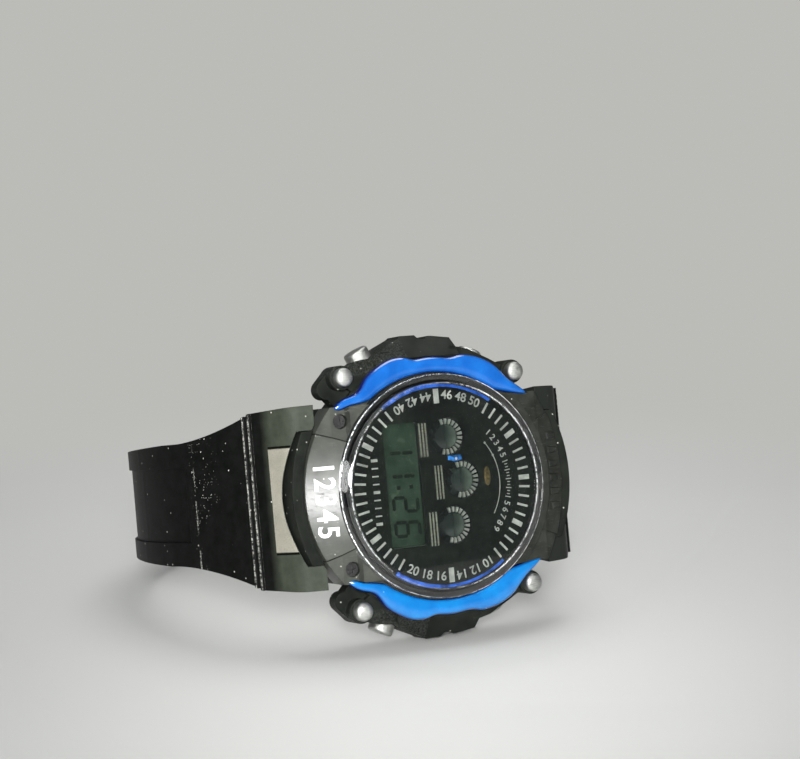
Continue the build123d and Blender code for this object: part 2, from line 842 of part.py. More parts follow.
def module_housing():
    housing = disc(module_radius, board_top, module_top) - notches()
    housing = housing - lcd_block(lcd_bottom, module_top + overrun, seat_gap)
    housing = housing - connector_block(seat_gap) - guide_block(seat_gap)
    well = disc(light_well_radius, 0, module_top)
    for place in eye_places():
        housing = housing - place * well
    return housing


def dial_plate():
    dial = disc(dial_radius, module_top, dial_level)
    window = fillet(Rectangle(window_length, window_width).vertices(), window_rounding)
    dial = dial - Pos(display_shift, window_y, module_top) * extrude(window, dial_thickness)
    for place in eye_places():
        dial = dial - place * disc(eye_radius, 0, dial_level + overrun)
    return dial


def glass():
    """Raised lens with a bevelled rim and a slight dome, turned about the dial's axis."""
    skirt = dial_radius + 2 * seat_gap
    skirt_bottom = collar_top + glass_gasket_height
    half_dome = glass_top + glass_dome * dome_half_share
    profile = [ThreePointArc((0, 0, glass_top + glass_dome), (glass_bevel_radius / 2, 0, half_dome),
                             (glass_bevel_radius, 0, glass_top)),
               Polyline((glass_bevel_radius, 0, glass_top), (glass_radius, 0, glass_rim_top),
                        (glass_radius, 0, skirt_bottom), (skirt, 0, skirt_bottom), (skirt, 0, glass_under),
                        (0, 0, glass_under), (0, 0, glass_top + glass_dome))]
    return revolve(make_face(profile), Axis.Z)


def glass_gasket():
    return ring(glass_radius - seat_gap, glass_radius - glass_gasket_width, collar_top,
                collar_top + glass_gasket_height)


def scaled(shares, size):
    """Points given as shares of a size."""
    return [(x * size, y * size) for x, y in shares]


def polar(radius, angle):
    return (radius * cos(radians(angle)), radius * sin(radians(angle)))


def crescent_outline():
    """Outline of the 3 o'clock crescent: its stepped outer edge and the edge along the glass."""
    outer = scaled(crescent_shares, glass_radius)
    low = polar(crescent_inner, crescent_low_angle)
    high = polar(crescent_inner, crescent_high_angle)
    edges = [Spline(*outer), Spline(outer[0], *scaled(crescent_tail_shares, glass_radius), low),
             ThreePointArc(low, (crescent_inner, 0), high),
             Spline(high, *scaled(crescent_tip_shares, glass_radius), outer[-1])]
    return make_face(edges)


def crescent():
    """Blue inlay at 3 o'clock, with a rounded top edge."""
    body = Pos(0, 0, bezel_ledge) * extrude(crescent_outline(), crescent_top - bezel_ledge)
    return chamfer(body.edges().group_by(Axis.Z)[-1], crescent_bevel)


def slope_cut(drop):
    """What lies above the sloping front of the bezel at 6 o'clock, lowered by a step."""
    level = slope_level - drop
    far = 2 * end_radius
    fall = (far - slope_start) * tan(radians(slope_angle))
    points = [(0, 0, level), (0, -slope_start, level), (0, -far, level - fall), (0, -far, 2 * slope_level),
              (0, 0, 2 * slope_level)]
    face = make_face(Polyline(*points, close=True))
    return extrude(face, end_shoulder_half_width + overrun, dir=(1, 0, 0), both=True)


def corner_zone():
    """Where the bezel's corner plates lie, right of the middle plate at 6 o'clock."""
    points = [(plate_inner_half_width, -plate_inner_y), (plate_outer_half_width, -end_shoulder_radius),
              (plate_outer_half_width, -end_radius), (case_radius, -end_radius),
              (case_radius, -plate_inner_y / 2), (plate_inner_half_width, -plate_inner_y / 2)]
    return prism(points, 0, 2 * slope_level)


def bezel():
    """Moulding round the glass, with sloping stepped plates at both ends."""
    ends = end_block(end_shoulder_radius, end_shoulder_half_width, end_shoulder_top, slope_level)
    ends = ends - disc(case_radius + seat_gap, 0, case_top)
    low_cut = slope_cut(plate_drop)
    corner = low_cut & corner_zone()
    cut = slope_cut(0) + corner + flip(corner)
    ends = ends - cut - turn_end(cut)
    body = ends + disc(bezel_base_radius, case_top, bezel_ledge)
    raised = disc(bezel_ring_radius, bezel_ledge - seat_gap, bezel_ring_top)
    half = block((-end_shoulder_half_width, 0, 0), (end_shoulder_half_width, end_radius, 2 * slope_level))
    body = body + (raised & half)
    body = body - disc(glass_radius + seat_gap, 0, 2 * slope_level)
    space = Pos(0, 0, bezel_ledge) * extrude(crescent_outline(), slope_level)
    body = body - space - flip(space) - peg_clearance()
    for place in bezel_screw_places():
        body = body - place * disc(bezel_screw_hole_radius, screw_head_bottom, 2 * slope_level)
        body = body - place * disc(bezel_screw_shank_radius, 0, slope_level)
    return body


def peg_clearance():
    """Room for the sockets beside the bezel's ends."""
    wall = peg_radius + socket_wall + seat_gap
    low = disc(wall, 0, 2 * slope_level, peg_low_x, peg_low_y)
    high = disc(wall, 0, 2 * slope_level, peg_high_x, peg_high_y)
    return low + high + flip(low) + flip(high)


def bezel_screws():
    screws = []
    for place in bezel_screw_places():
        head = disc(bezel_screw_radius, screw_head_bottom, screw_head_top)
        screw = head + disc(bezel_screw_shank_radius, screw_tip, screw_head_bottom)
        screws.append(place * (screw - cross_slot(screw_head_top, cross_depth)))
    return joined(screws)


def watch_pieces():
    pieces = {
        "case_body": case_body(), "bezel": bezel(), "crescent_three": crescent(),
        "crescent_nine": flip(crescent()), "bezel_pegs": bezel_pegs(), "bezel_screws": bezel_screws(),
        "glass": glass(), "glass_gasket": glass_gasket(), "dial_plate": dial_plate(),
        "lcd_panel": lcd_block(lcd_bottom, module_top, 0), "light_guide": light_guide(),
        "module_housing": module_housing(), "lcd_connector": connector_block(0), "lights": lights(),
        "circuit_board": circuit_board(), "switch_contacts": switch_contacts(),
        "battery_holder": battery_holder(), "battery": battery(), "battery_clip": battery_clip(),
        "buzzer_disc": buzzer_disc(), "back_gasket": back_gasket(), "back_cover": back_cover(),
        "back_screws": back_screws(), "button_seals": button_seals(), "strap_long": strap_long(),
        "strap_short": strap_short(), "panel_six": panel_body(-1, panel_proud),
        "panel_twelve": panel_body(1, panel_proud), "spring_bars": spring_bars(),
        "buckle_bar": buckle_bar(), "buckle_frame": buckle_frame(), "buckle_tongue": buckle_tongue(),
        "strap_keeper": keeper(),
    }
    for name, (side, end) in button_sides.items():
        pieces[name + "_button"] = button(side, end)
        pieces[name + "_clip"] = button_clip(side, end)
    return pieces


def lying_tilt():
    """Lean of the dial when the guard's back edge and the buckle's far corner touch the floor."""
    far_corner = bar_place().from_local_coords((frame_reach, 0, frame_lift))
    drop = guard_bottom - (far_corner.Z - frame_bar_radius)
    return atan2(guard_reach - frame_outer, drop)


def rest_location(pieces):
    """Pose on the 3 o'clock side, with the origin under the middle of the watch's box."""
    tilt = lying_tilt()
    turned = Plane(origin=(0, 0, 0), x_dir=(0, -sin(tilt), -cos(tilt)), z_dir=(0, -cos(tilt), sin(tilt)))
    boxes = [(turned.location * piece).bounding_box() for piece in pieces.values()]
    middle_x = (min(box.min.X for box in boxes) + max(box.max.X for box in boxes)) / 2
    middle_y = (min(box.min.Y for box in boxes) + max(box.max.Y for box in boxes)) / 2
    lowest = min(box.min.Z for box in boxes)
    return Pos(-middle_x, -middle_y, -lowest) * turned.location


watch = watch_pieces()
rest = rest_location(watch)
os.makedirs("parts", exist_ok=True)
for node, solid in watch.items():
    export_step(rest * solid, "parts/" + node + ".step")
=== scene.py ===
"""The looks of a digital sports watch that lies on its side, buckled.

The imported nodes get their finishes. Softer forms replace the lens, the pegs and the crescents, and the dial's
print, the display's figures, the round windows and the marks on the plates are added. The head's pieces are
drawn in the watch's own millimetres: X towards 3 o'clock, Y towards 12 o'clock and Z out of the dial, from
the middle of the case's back.
"""

import json
import math

import bmesh
import bpy
from mathutils import Matrix, Vector


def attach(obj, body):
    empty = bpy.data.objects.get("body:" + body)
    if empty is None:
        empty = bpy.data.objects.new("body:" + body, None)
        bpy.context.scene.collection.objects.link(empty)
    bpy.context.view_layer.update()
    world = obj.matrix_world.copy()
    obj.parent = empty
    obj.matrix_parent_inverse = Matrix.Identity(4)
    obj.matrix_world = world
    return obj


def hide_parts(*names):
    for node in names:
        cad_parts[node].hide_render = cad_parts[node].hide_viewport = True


MM = 0.001
BODY = "watch"

# Levels inside the head
DIAL_LEVEL = 10.0
LCD_LEVEL = 9.4
EYE_LEVEL = 9.7

# Print, and how far each raised form sinks into what carries it
PRINT_THICKNESS = 0.03
SINK = 0.02
FONT_SIZE_SHARE = 1.42
FONT_BOLD_SHARE = 0.02

# The sloping plates at 6 and 12 o'clock
SLOPE_START = 16.7
SLOPE_ANGLE = 24.0

# The shading of the 6 o'clock plate: where it begins, its side lines with painted shade along their groove, and
# its crown
PLATE_ROOT = (-13.6, -14.4)
PLATE_NEAR = -14.5
PLATE_FAR = -21.0
PLATE_NEAR_HALF = 7.7
PLATE_FAR_HALF = 9.9
PLATE_SEAM_SHADE = (0.17, 0.05)
PLATE_CROWN_MIDDLE = 2.0
PLATE_CROWN_BEND = 0.1
PLATE_CROWN_DEPTH = -2.1

# The lens: turned profile, from its face to its back
LENS_RADIUS = 16.5
LENS_FACE_RADIUS = 15.1
LENS_FACE_LEVEL = 11.3
LENS_CROWN = 0.35
LENS_BEVEL_LEVEL = 10.6
LENS_FOOT_LEVEL = 9.0
LENS_BACK_LEVEL = 10.4
LENS_RINGS = (0, 2, 4, 6, 8, 10, 12, 13.5, 14.5)
LENS_ROUNDING = (0.2, 0.22, 0.1, 0, 0)
LENS_STEPS = 192
# The lens's paler rims, partly wear and partly a painted highlight: their widths, inset and fade
LENS_FACE_GLINT_AND_WEAR = 0.3
LENS_RIM_GLINT_AND_WEAR = 0.1
LENS_RIM_INSET = 0.06
LENS_GLINT_AND_WEAR_FADE = 0.12

# The pegs: radius and level along the domed head, then the shank
PEG_HEAD = ((0, 9.9), (0.35, 9.885), (0.7, 9.83), (1.0, 9.72), (1.2, 9.58), (1.33, 9.4), (1.385, 9.2))
PEG_RADIUS = 1.39
PEG_COLLAR_LEVEL = 8.0
PEG_FOOT_LEVEL = 5.65
PEG_PLACES = ((17.0, -13.9), (16.0, 14.0))
PEG_STEPS = 48

# The crescents
CRESCENT_FOOT_LEVEL = 8.42
CRESCENT_RIM_LEVEL = 8.98
CRESCENT_RISE = 0.75
CRESCENT_FULL_WIDTH = 1.7
CRESCENT_SIDE_STEPS = 110
CRESCENT_CROSS_STEPS = 12
CRESCENT_SQUARENESS = 3.2
CRESCENT_FULLNESS = 0.6

# The printed ring
MINUTE_ANGLE = 6
RING_STROKE = (12.44, 14.2)
RING_STROKE_HALF = 0.16
RING_BROAD_HALF = 0.36
RING_QUARTER = (12.1, 14.25)
RING_QUARTER_HALF = 0.43
RING_FIGURE_HEIGHT = 1.3
RING_FIGURE_RADIUS = 13.3

# The fine scale on the 12 o'clock side, and the strokes below the display
SCALE_RADIUS = 10.7
SCALE_FIGURE_HEIGHT = 0.95
SCALE_FIGURE_START = 42
SCALE_FIGURE_STEP = 5.6
SCALE_STROKE_STEP = 2.4
SCALE_STROKE_HALF = 0.07
SCALE_LONG = 0.9
SCALE_SHORT = 0.45
ARC_INNER = 9.15
ARC_OUTER = 9.27
ARC_START = -38
ARC_END = 32
ARC_DOT_ANGLES = (ARC_START, -24)
ARC_DOT_RADIUS = 0.18
FOOT_STROKE_COUNT = 9
FOOT_STROKE_START = -4.6
FOOT_STROKE_PITCH = 1.15
FOOT_STROKE_PLACE = -10.75
FOOT_STROKE_REACH = 0.5
FOOT_STROKE_BROAD = 0.42
FOOT_STROKE_THIN = 0.2

# The display
DISPLAY_FIGURES = ((-6.3, "1"), (-2.9, "1"), (2.2, "2"), (5.8, "6"))
DISPLAY_ROW = -6.1
DISPLAY_COLON = ((-0.3, -7.0), (-0.3, -5.0))
COLON_HALF = 0.28
DIGIT_WIDTH = 2.5
DIGIT_HEIGHT = 4.3
DIGIT_STROKE = 0.52
DIGIT_GAP = 0.06
DIGIT_SLANT = 0.04
DIGIT_THICKNESS = 0.04
DIGIT_SINK = 0.005
SEGMENTS = {"1": "bc", "2": "abged", "6": "acdefg"}

# The three round windows, each with silvered teeth round its 12 o'clock side
EYES = ((-7.1, 1.1), (-0.6, 3.1), (5.9, 1.1))
EYE_DOME = ((0, 9.98), (0.6, 9.96), (1.1, 9.91), (1.5, 9.82), (1.76, 9.72), (1.76, 9.68), (0, 9.68))
EYE_STEPS = 48
TOOTH_COUNT = 14
TOOTH_START = -104
TOOTH_STEP = 16
TOOTH_OUTLINE = ((-0.15, 1.85), (0.15, 1.85), (0.24, 2.68), (-0.24, 2.68))
TOOTH_HEIGHT = 0.26
TOOTH_TOP_SHARE = 0.8

# The ribbed foil bars between the display and the windows
FOIL_PLACES = ((-6.9, -2.75), (-0.5, -0.75), (6.2, -2.25))
FOIL_HALF_LENGTH = 2.6
FOIL_HALF_WIDTH = 0.78
FOIL_THICKNESS = 0.05
FOIL_RIB_PLACES = (-0.5, 0.0, 0.5)
FOIL_RIB_HALF_LENGTH = 2.5
FOIL_RIB_HALF_WIDTH = 0.1
FOIL_RIB_FOOT = 0.04
FOIL_RIB_HEIGHT = 0.14
FOIL_RIB_TOP_SHARE = 0.93

# Blue arcs at the dial's edge, beside 3 and 9 o'clock: a painted reflection of the blue inlays in the lens's
# rim
GLINT_INNER = 14.5
GLINT_OUTER = 14.95
GLINT_ANGLES = (90, 270)
GLINT_HALF_ANGLE = 36

# The blue indicator, the white disc painted as its highlight, and the oval gold mark
INDICATOR_PLACE = (-3.9, 2.2)
INDICATOR_OUTLINE = ((-0.45, -1.15), (0.25, -1.3), (0.6, 0.0), (0.3, 1.2), (-0.4, 1.0))
INDICATOR_HEIGHT = 0.2
INDICATOR_TOP_SHARE = 0.35
GLINT_DISC_PLACE = (-3.8, 2.25)
GLINT_DISC_RADIUS = 0.24
GLINT_DISC_FOOT = 0.18
GLINT_DISC_HEIGHT = 0.06
GLINT_DISC_TOP_SHARE = 0.6
GOLD_PLACE = (-0.75, 7.2)
GOLD_HALF_LENGTH = 1.5
GOLD_HALF_WIDTH = 0.55
GOLD_HEIGHT = 0.08
GOLD_TOP_SHARE = 0.8

# White figures on the 6 o'clock plate, ribs on the 12 o'clock one
PLATE_FIGURE_COUNT = 5
PLATE_FIGURE_HEIGHT = 2.75
PLATE_FIGURE_PITCH = 2.3
PLATE_FIGURE_MIDDLE = (0.4, -18.45)
PLATE_RIB_COUNT = 6
PLATE_RIB_PITCH = 2.1
PLATE_RIB_MIDDLE = -0.5
PLATE_RIB_NEAR = 18.1
PLATE_RIB_FAR = 20.3
PLATE_RIB_NEAR_HALF = 0.6
PLATE_RIB_FAR_HALF = 0.45
PLATE_RIB_HEIGHT = 0.28
PLATE_RIB_TOP_SHARE = 0.8

# The guards' coarse facets on the 6 o'clock side: where they fade in towards their middle
FACET_TOP = (-3.0, -3.3)
FACET_INNER = (17.0, 17.6)
FACET_FOOT = (-18.0, -17.5)

# The strap: where a painted shadow turns its shoulders black, its inlays end and crumbs of dust lie
SHOULDER_SHADOW_LEVELS = (1.5, 3.2)
INLAY_SEAM = (7.45, 7.6)
CRUMB_LOW_LEVELS = (-13.0, -11.5)
CRUMB_HIGH_LEVELS = (-6.5, -8.5)

# The strap's ribs, with a painted highlight along the shoulder ribs and dust along the fold rib: level, half
# width, and how far from the dial's axis each begins
SHOULDER_RIBS = ((0.02, 0.16, 24.6), (-0.93, 0.13, 25.0))
FOLD_RIB = (-11.9, 0.2, 30.2)

# The room: the floor's radius in metres, and the distances in millimetres between which it fades away
BACKDROP = (0.5, 0.5, 0.475)
FLOOR_RADIUS = 4.0
FLOOR_STEPS = 96
FLOOR_FADE = (95.0, 240.0)
SKY = (0.85, 0.88, 0.9)
SKY_STRENGTH = 0.5
SKY_MIRRORED = (0.8, 0.85, 0.9)
SKY_MIRRORED_STRENGTH = 0.1

# The lamps' places, in metres: the key and the fill go by the camera's place
KEY_RISE = 0.02
FILL_RISE = 0.2
FILL_LEFT = 0.35
TOP_PLACE = (0.2, 0.25, 1.5)
TOP_TARGET = (0, 0.1, 0)

# The photograph's camera: how the watch's axes and the dial's centre lie in it, in watch millimetres
SEEN_THREE = (0.088, 0.996, -0.015)
SEEN_TWELVE = (0.909, -0.074, 0.409)
SEEN_DIAL = (6.3, 14.2, 265.2)
SENSOR_WIDTH = 36.0
FOCAL_LENGTH = 81.0
PHOTO_WIDTH = 800
PHOTO_SHIFT = 9.5
CLIP_START = 0.01

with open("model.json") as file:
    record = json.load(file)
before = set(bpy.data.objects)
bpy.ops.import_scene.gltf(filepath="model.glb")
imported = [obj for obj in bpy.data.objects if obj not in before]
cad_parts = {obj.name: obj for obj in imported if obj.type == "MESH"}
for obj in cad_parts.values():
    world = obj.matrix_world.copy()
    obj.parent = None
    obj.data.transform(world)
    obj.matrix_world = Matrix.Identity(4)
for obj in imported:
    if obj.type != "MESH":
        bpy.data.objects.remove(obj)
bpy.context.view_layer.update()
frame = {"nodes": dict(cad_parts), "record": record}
nodes = frame["nodes"]
scene = bpy.context.scene


def watch_frame():
    """The matrix from the watch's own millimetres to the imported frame."""
    back = next(m for m in frame["record"]["mounts"] if m["name"] == "case_back")
    dial_axis = -Vector(back["axis"]).normalized()
    twelve_axis = Vector((1, 0, 0))
    three_axis = twelve_axis.cross(dial_axis)
    turn = Matrix((three_axis, twelve_axis, dial_axis)).transposed()
    return Matrix.Translation(back["pos_m"]) @ turn.to_4x4() @ Matrix.Scale(MM, 4)


WATCH = watch_frame()


# Materials


class Paint:
    """One node material, built from the shader back."""

    MIX_FACTOR = 0
    MIX_COLOURS = (6, 7)
    MIX_RESULT = 2
    SOFT_SHARE = 0.4

    def __init__(self, name, colour=(0.5, 0.5, 0.5), roughness=0.5, metallic=0.0, **sockets):
        self.material = bpy.data.materials.new(name)
        self.material.use_nodes = True
        self.tree = self.material.node_tree
        self.shader = self.tree.nodes["Principled BSDF"]
        self.output = self.tree.nodes["Material Output"]
        self.normal = None
        self.set("Base Color", (*colour, 1.0))
        self.set("Roughness", roughness)
        self.set("Metallic", metallic)
        for socket, value in sockets.items():
            self.set(socket.replace("_", " "), value)

    def feed(self, socket, value):
        """Links a node's output to a socket, or sets the socket to a plain value."""
        if hasattr(value, "is_output"):
            self.tree.links.new(value, socket)
        else:
            socket.default_value = value

    def set(self, socket, value):
        self.feed(self.shader.inputs[socket], value)

    def node(self, kind, inputs=None, output=0, **settings):
        made = self.tree.nodes.new("ShaderNode" + kind)
        for setting, value in settings.items():
            setattr(made, setting, value)
        for socket, value in (inputs or {}).items():
            self.feed(made.inputs[socket], value)
        return made.outputs[output]

    def space(self):
        """Object coordinates in millimetres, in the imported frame."""
        coordinates = self.node("TexCoord", output="Object")
        return self.node("Mapping", {"Vector": coordinates, "Scale": (1 / MM,) * 3})

    def watch_space(self):
        """Object coordinates in the watch's own millimetres."""
        back = WATCH.inverted()
        inputs = {
            "Vector": self.node("TexCoord", output="Object"),
            "Location": back.translation,
            "Rotation": back.to_quaternion().to_euler("XYZ"),
            "Scale": (1 / MM,) * 3,
        }
        return self.node("Mapping", inputs)

    def facing(self, direction):
        """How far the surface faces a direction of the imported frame, from -1 to 1."""
        normal = self.node("TexCoord", output="Normal")
        return self.node("VectorMath", {0: normal, 1: direction}, output="Value", operation="DOT_PRODUCT")

    def facing_out(self):
        """How far the surface faces out of the dial."""
        return self.facing(WATCH.to_3x3().col[2].normalized())

    def coordinate(self, space, axis):
        return self.node("SeparateXYZ", {"Vector": space}, output=axis)

    def radius(self, space):
        """Distance from the dial's axis."""
        flattened = self.node("VectorMath", {0: space, 1: (1, 1, 0)}, operation="MULTIPLY")
        return self.node("VectorMath", {0: flattened}, output="Value", operation="LENGTH")

    def maths(self, operation, first, second=0.0):
        return self.node("Math", {0: first, 1: second}, operation=operation)

    def times(self, *values):
        product = values[0]
        for value in values[1:]:
            product = self.maths("MULTIPLY", product, value)
        return product

    def larger(self, first, second):
        return self.maths("MAXIMUM", first, second)

    def absolute(self, value):
        return self.maths("ABSOLUTE", value)

    def ramp(self, value, low, high, out_low=0.0, out_high=1.0):
        inputs = {"Value": value, "From Min": low, "From Max": high, "To Min": out_low, "To Max": out_high}
        return self.node("MapRange", inputs, clamp=True)

    def line(self, value, place, half):
        """A soft-edged line: 1 where the value is at its place, 0 past half the line's width."""
        return self.ramp(self.absolute(self.maths("SUBTRACT", value, place)), half, half * self.SOFT_SHARE)

    def noise(self, vector, scale, detail=3.0, roughness=0.5):
        inputs = {"Vector": vector, "Scale": scale, "Detail": detail, "Roughness": roughness}
        return self.node("TexNoise", inputs, output="Fac")

    def cloud(self, space, scale, detail=4.0, roughness=0.5, low=0.3, high=0.7):
        """Soft patches, from 0 to 1."""
        return self.ramp(self.noise(space, scale, detail, roughness), low, high)

    def rings(self, space, scale, detail, roughness):
        """Noise that changes only with the distance from the dial's axis."""
        ringed = self.node("CombineXYZ", {"X": self.radius(space)})
        return self.noise(ringed, scale, detail, roughness)

    def streaks(self, space, turn, stretch, low, high, detail, roughness=0.7):
        """Thin marks that run one way across the dial's plane."""
        lined = self.node("Mapping", {"Vector": space, "Rotation": (0, 0, turn), "Scale": (*stretch, 1)})
        return self.ramp(self.noise(lined, 1.0, detail, roughness), low, high)

    def specks(self, space, scale, reach, share):
        """Small scattered grains: 1 on a grain, 0 between them."""
        cells = self.tree.nodes.new("ShaderNodeTexVoronoi")
        self.feed(cells.inputs["Scale"], scale)
        self.feed(cells.inputs["Vector"], space)
        grain = self.ramp(cells.outputs["Distance"], reach, reach * self.SOFT_SHARE)
        chosen = self.node("SeparateColor", {"Color": cells.outputs["Color"]})
        return self.times(grain, self.maths("LESS_THAN", chosen, share))

    def mix(self, share, first, second):
        """Blends two colours by a share."""
        made = self.tree.nodes.new("ShaderNodeMix")
        made.data_type = "RGBA"
        self.feed(made.inputs[self.MIX_FACTOR], share)
        for index, colour in zip(self.MIX_COLOURS, (first, second)):
            self.feed(made.inputs[index], colour if hasattr(colour, "is_output") else (*colour, 1.0))
        return made.outputs[self.MIX_RESULT]

    def over(self, tone, mask, strength, colour):
        """Lays a colour over a tone where a mask is."""
        return self.mix(self.times(mask, strength), tone, colour)

    def bump(self, height, depth):
        """Adds one layer of relief, depth in millimetres."""
        inputs = {"Height": height, "Distance": depth * MM, "Strength": 1.0}
        if self.normal is not None:
            inputs["Normal"] = self.normal
        self.normal = self.node("Bump", inputs)
        self.set("Normal", self.normal)

    def grain(self, space, scale, depth, detail=2.0):
        """Fine relief all over."""
        self.bump(self.noise(space, scale, detail), depth)

    def soft_edges(self, radius):
        """Lets the light catch the edges as if they were rounded, radius in millimetres."""
        self.normal = self.node("Bevel", {"Radius": radius * MM}, samples=6)

    def lean(self, share, direction):
        """Turns the shaded normal by a share towards a direction of the watch's own frame."""
        target = tuple((WATCH.to_3x3() @ Vector(direction)).normalized())
        gap = self.node("VectorMath", {0: target, 1: self.normal}, operation="SUBTRACT")
        step = self.node("VectorMath", {0: gap, "Scale": share}, operation="SCALE")
        leaning = self.node("VectorMath", {0: self.normal, 1: step}, operation="ADD")
        self.normal = self.node("VectorMath", {0: leaning}, operation="NORMALIZE")


def shaded(colour, share):
    """A colour made darker or paler, up to white."""
    return [min(1.0, channel * share) for channel in colour]


def bezel_resin():
    """Grey-black resin of the bezel, satin, with fine scuffs; painted light makes its 6 o'clock side paler.

    The 6 o'clock plate is shaded as one crowned surface between its side lines, which painted shade darkens
    along their groove.
    """
    paint = Paint("resin_grey", roughness=0.38)
    space = paint.watch_space()
    across = paint.coordinate(space, "X")
    along = paint.coordinate(space, "Y")

    cloud = paint.cloud(space, 0.4)
    lit_tone = paint.mix(cloud, (0.026, 0.029, 0.023), (0.048, 0.052, 0.042))
    shaded_tone = paint.mix(cloud, (0.011, 0.012, 0.01), (0.024, 0.026, 0.022))
    # Painted light: the tone is paler towards the 6 o'clock side and darker towards 12 o'clock.
    tone = paint.mix(paint.ramp(along, -16.0, 2.0), lit_tone, shaded_tone)
    scuff = paint.streaks(space, 0.4, (5, 0.6), 0.58, 0.76, detail=5.0, roughness=0.75)
    tone = paint.over(tone, scuff, 0.3, (0.14, 0.145, 0.13))

    side_line = paint.ramp(along, PLATE_FAR, PLATE_NEAR, PLATE_FAR_HALF, PLATE_NEAR_HALF)
    edge = paint.maths("SUBTRACT", paint.absolute(across), side_line)
    plate_part = paint.ramp(along, *PLATE_ROOT)
    # Painted shade: a dark line along the groove at each side line of the 6 o'clock plate.
    seam = paint.times(paint.ramp(paint.absolute(edge), *PLATE_SEAM_SHADE), plate_part)
    tone = paint.over(tone, seam, 0.9, (0.004, 0.005, 0.004))
    tone = paint.over(tone, paint.specks(space, 1.1, 0.16, 0.08), 0.7, (0.5, 0.5, 0.45))
    paint.set("Base Color", tone)
    paint.set("Roughness", paint.ramp(scuff, 0.0, 1.0, 0.4, 0.6))
    gloss = paint.ramp(along, -15.0, -2.0, 0.62, 0.1)
    paint.set("Specular IOR Level", paint.times(gloss, paint.ramp(seam, 0.0, 1.0, 1.0, 0.1)))

    paint.soft_edges(0.2)
    inside = paint.times(paint.ramp(edge, 0.05, -0.05), plate_part)
    upright = paint.ramp(paint.facing_out(), 0.95, 0.98)
    outward = paint.ramp(along, -14.0, -17.0, 0.55, 0.95)
    slope = math.radians(SLOPE_ANGLE)
    paint.lean(paint.times(inside, upright, outward), (0, -math.sin(slope), math.cos(slope)))
    offset = paint.times(paint.maths("SUBTRACT", across, PLATE_CROWN_MIDDLE), PLATE_CROWN_BEND)
    paint.bump(paint.times(offset, offset, plate_part), PLATE_CROWN_DEPTH)
    paint.grain(space, 7.0, 0.012)
    paint.bump(scuff, -0.02)
    return paint.material


def turned_steel():
    """Steel of the back cover, with the fine rings of its turning."""
    paint = Paint("turned_steel", (0.6, 0.61, 0.6), 0.3, metallic=1.0)
    space = paint.watch_space()
    rings = paint.rings(space, 5.0, 4.0, 0.7)
    tone = paint.mix(rings, (0.42, 0.43, 0.42), (0.7, 0.71, 0.69))
    paint.set("Base Color", paint.over(tone, paint.cloud(space, 0.25), 0.3, (0.5, 0.49, 0.46)))
    paint.set("Roughness", paint.ramp(rings, 0.3, 0.7, 0.24, 0.42))
    paint.bump(rings, 0.03)
    return paint.material


def case_resin():
    """Black resin of the case, coarsely textured on the guards' 6 o'clock facets."""
    paint = Paint("resin_black", roughness=0.42, Specular_IOR_Level=0.05)
    space = paint.watch_space()
    across = paint.absolute(paint.coordinate(space, "X"))
    along = paint.coordinate(space, "Y")
    cloud = paint.cloud(space, 0.35)
    tone = paint.mix(cloud, (0.006, 0.007, 0.006), (0.014, 0.016, 0.013))
    facet = paint.times(paint.ramp(along, *FACET_TOP), paint.ramp(across, *FACET_INNER))
    facet = paint.times(facet, paint.ramp(along, *FACET_FOOT))
    coarse = paint.times(facet, paint.ramp(paint.noise(space, 3.2, 5.0, 0.8), 0.45, 0.75))
    tone = paint.over(tone, coarse, 0.4, (0.16, 0.17, 0.15))
    tone = paint.over(tone, paint.specks(space, 1.1, 0.18, 0.16), 0.7, (0.5, 0.5, 0.45))
    paint.set("Base Color", tone)
    paint.set("Roughness", paint.ramp(cloud, 0.0, 1.0, 0.36, 0.5))
    paint.soft_edges(0.2)
    paint.grain(space, 7.0, 0.02)
    paint.bump(coarse, 0.12)
    return paint.material


def strap_dust(paint, space, along, level):
    """Where the strap is paler: a painted highlight along its shoulder ribs, dust along its fold rib, in crumbs
    past the bend, and in single grains.
    """
    lines = 0.0
    # Painted highlight: broken pale lines along the crests of the shoulder ribs.
    for place, half, reach in SHOULDER_RIBS:
        beyond = paint.maths("GREATER_THAN", paint.absolute(along), reach)
        lines = paint.larger(lines, paint.times(paint.line(level, place, half), beyond))
    place, half, reach = FOLD_RIB
    beyond = paint.maths("LESS_THAN", along, -reach)
    patchy = paint.times(beyond, paint.ramp(paint.noise(space, 0.22, 2.0), 0.44, 0.54))
    lines = paint.larger(lines, paint.times(paint.line(level, place, half), patchy))
    lines = paint.times(lines, paint.ramp(paint.noise(space, 2.6, 5.0, 0.8), 0.46, 0.58))

    band = paint.times(paint.ramp(level, *CRUMB_LOW_LEVELS), paint.ramp(level, *CRUMB_HIGH_LEVELS))
    band = paint.times(band, paint.maths("LESS_THAN", along, 0.0))
    patches = paint.ramp(paint.noise(space, 0.16, 2.0), 0.42, 0.56)
    crumbs = paint.times(paint.specks(space, 2.6, 0.3, 0.4), band, patches)
    grains = paint.larger(paint.specks(space, 1.0, 0.16, 0.16), crumbs)
    return paint.larger(grains, lines)


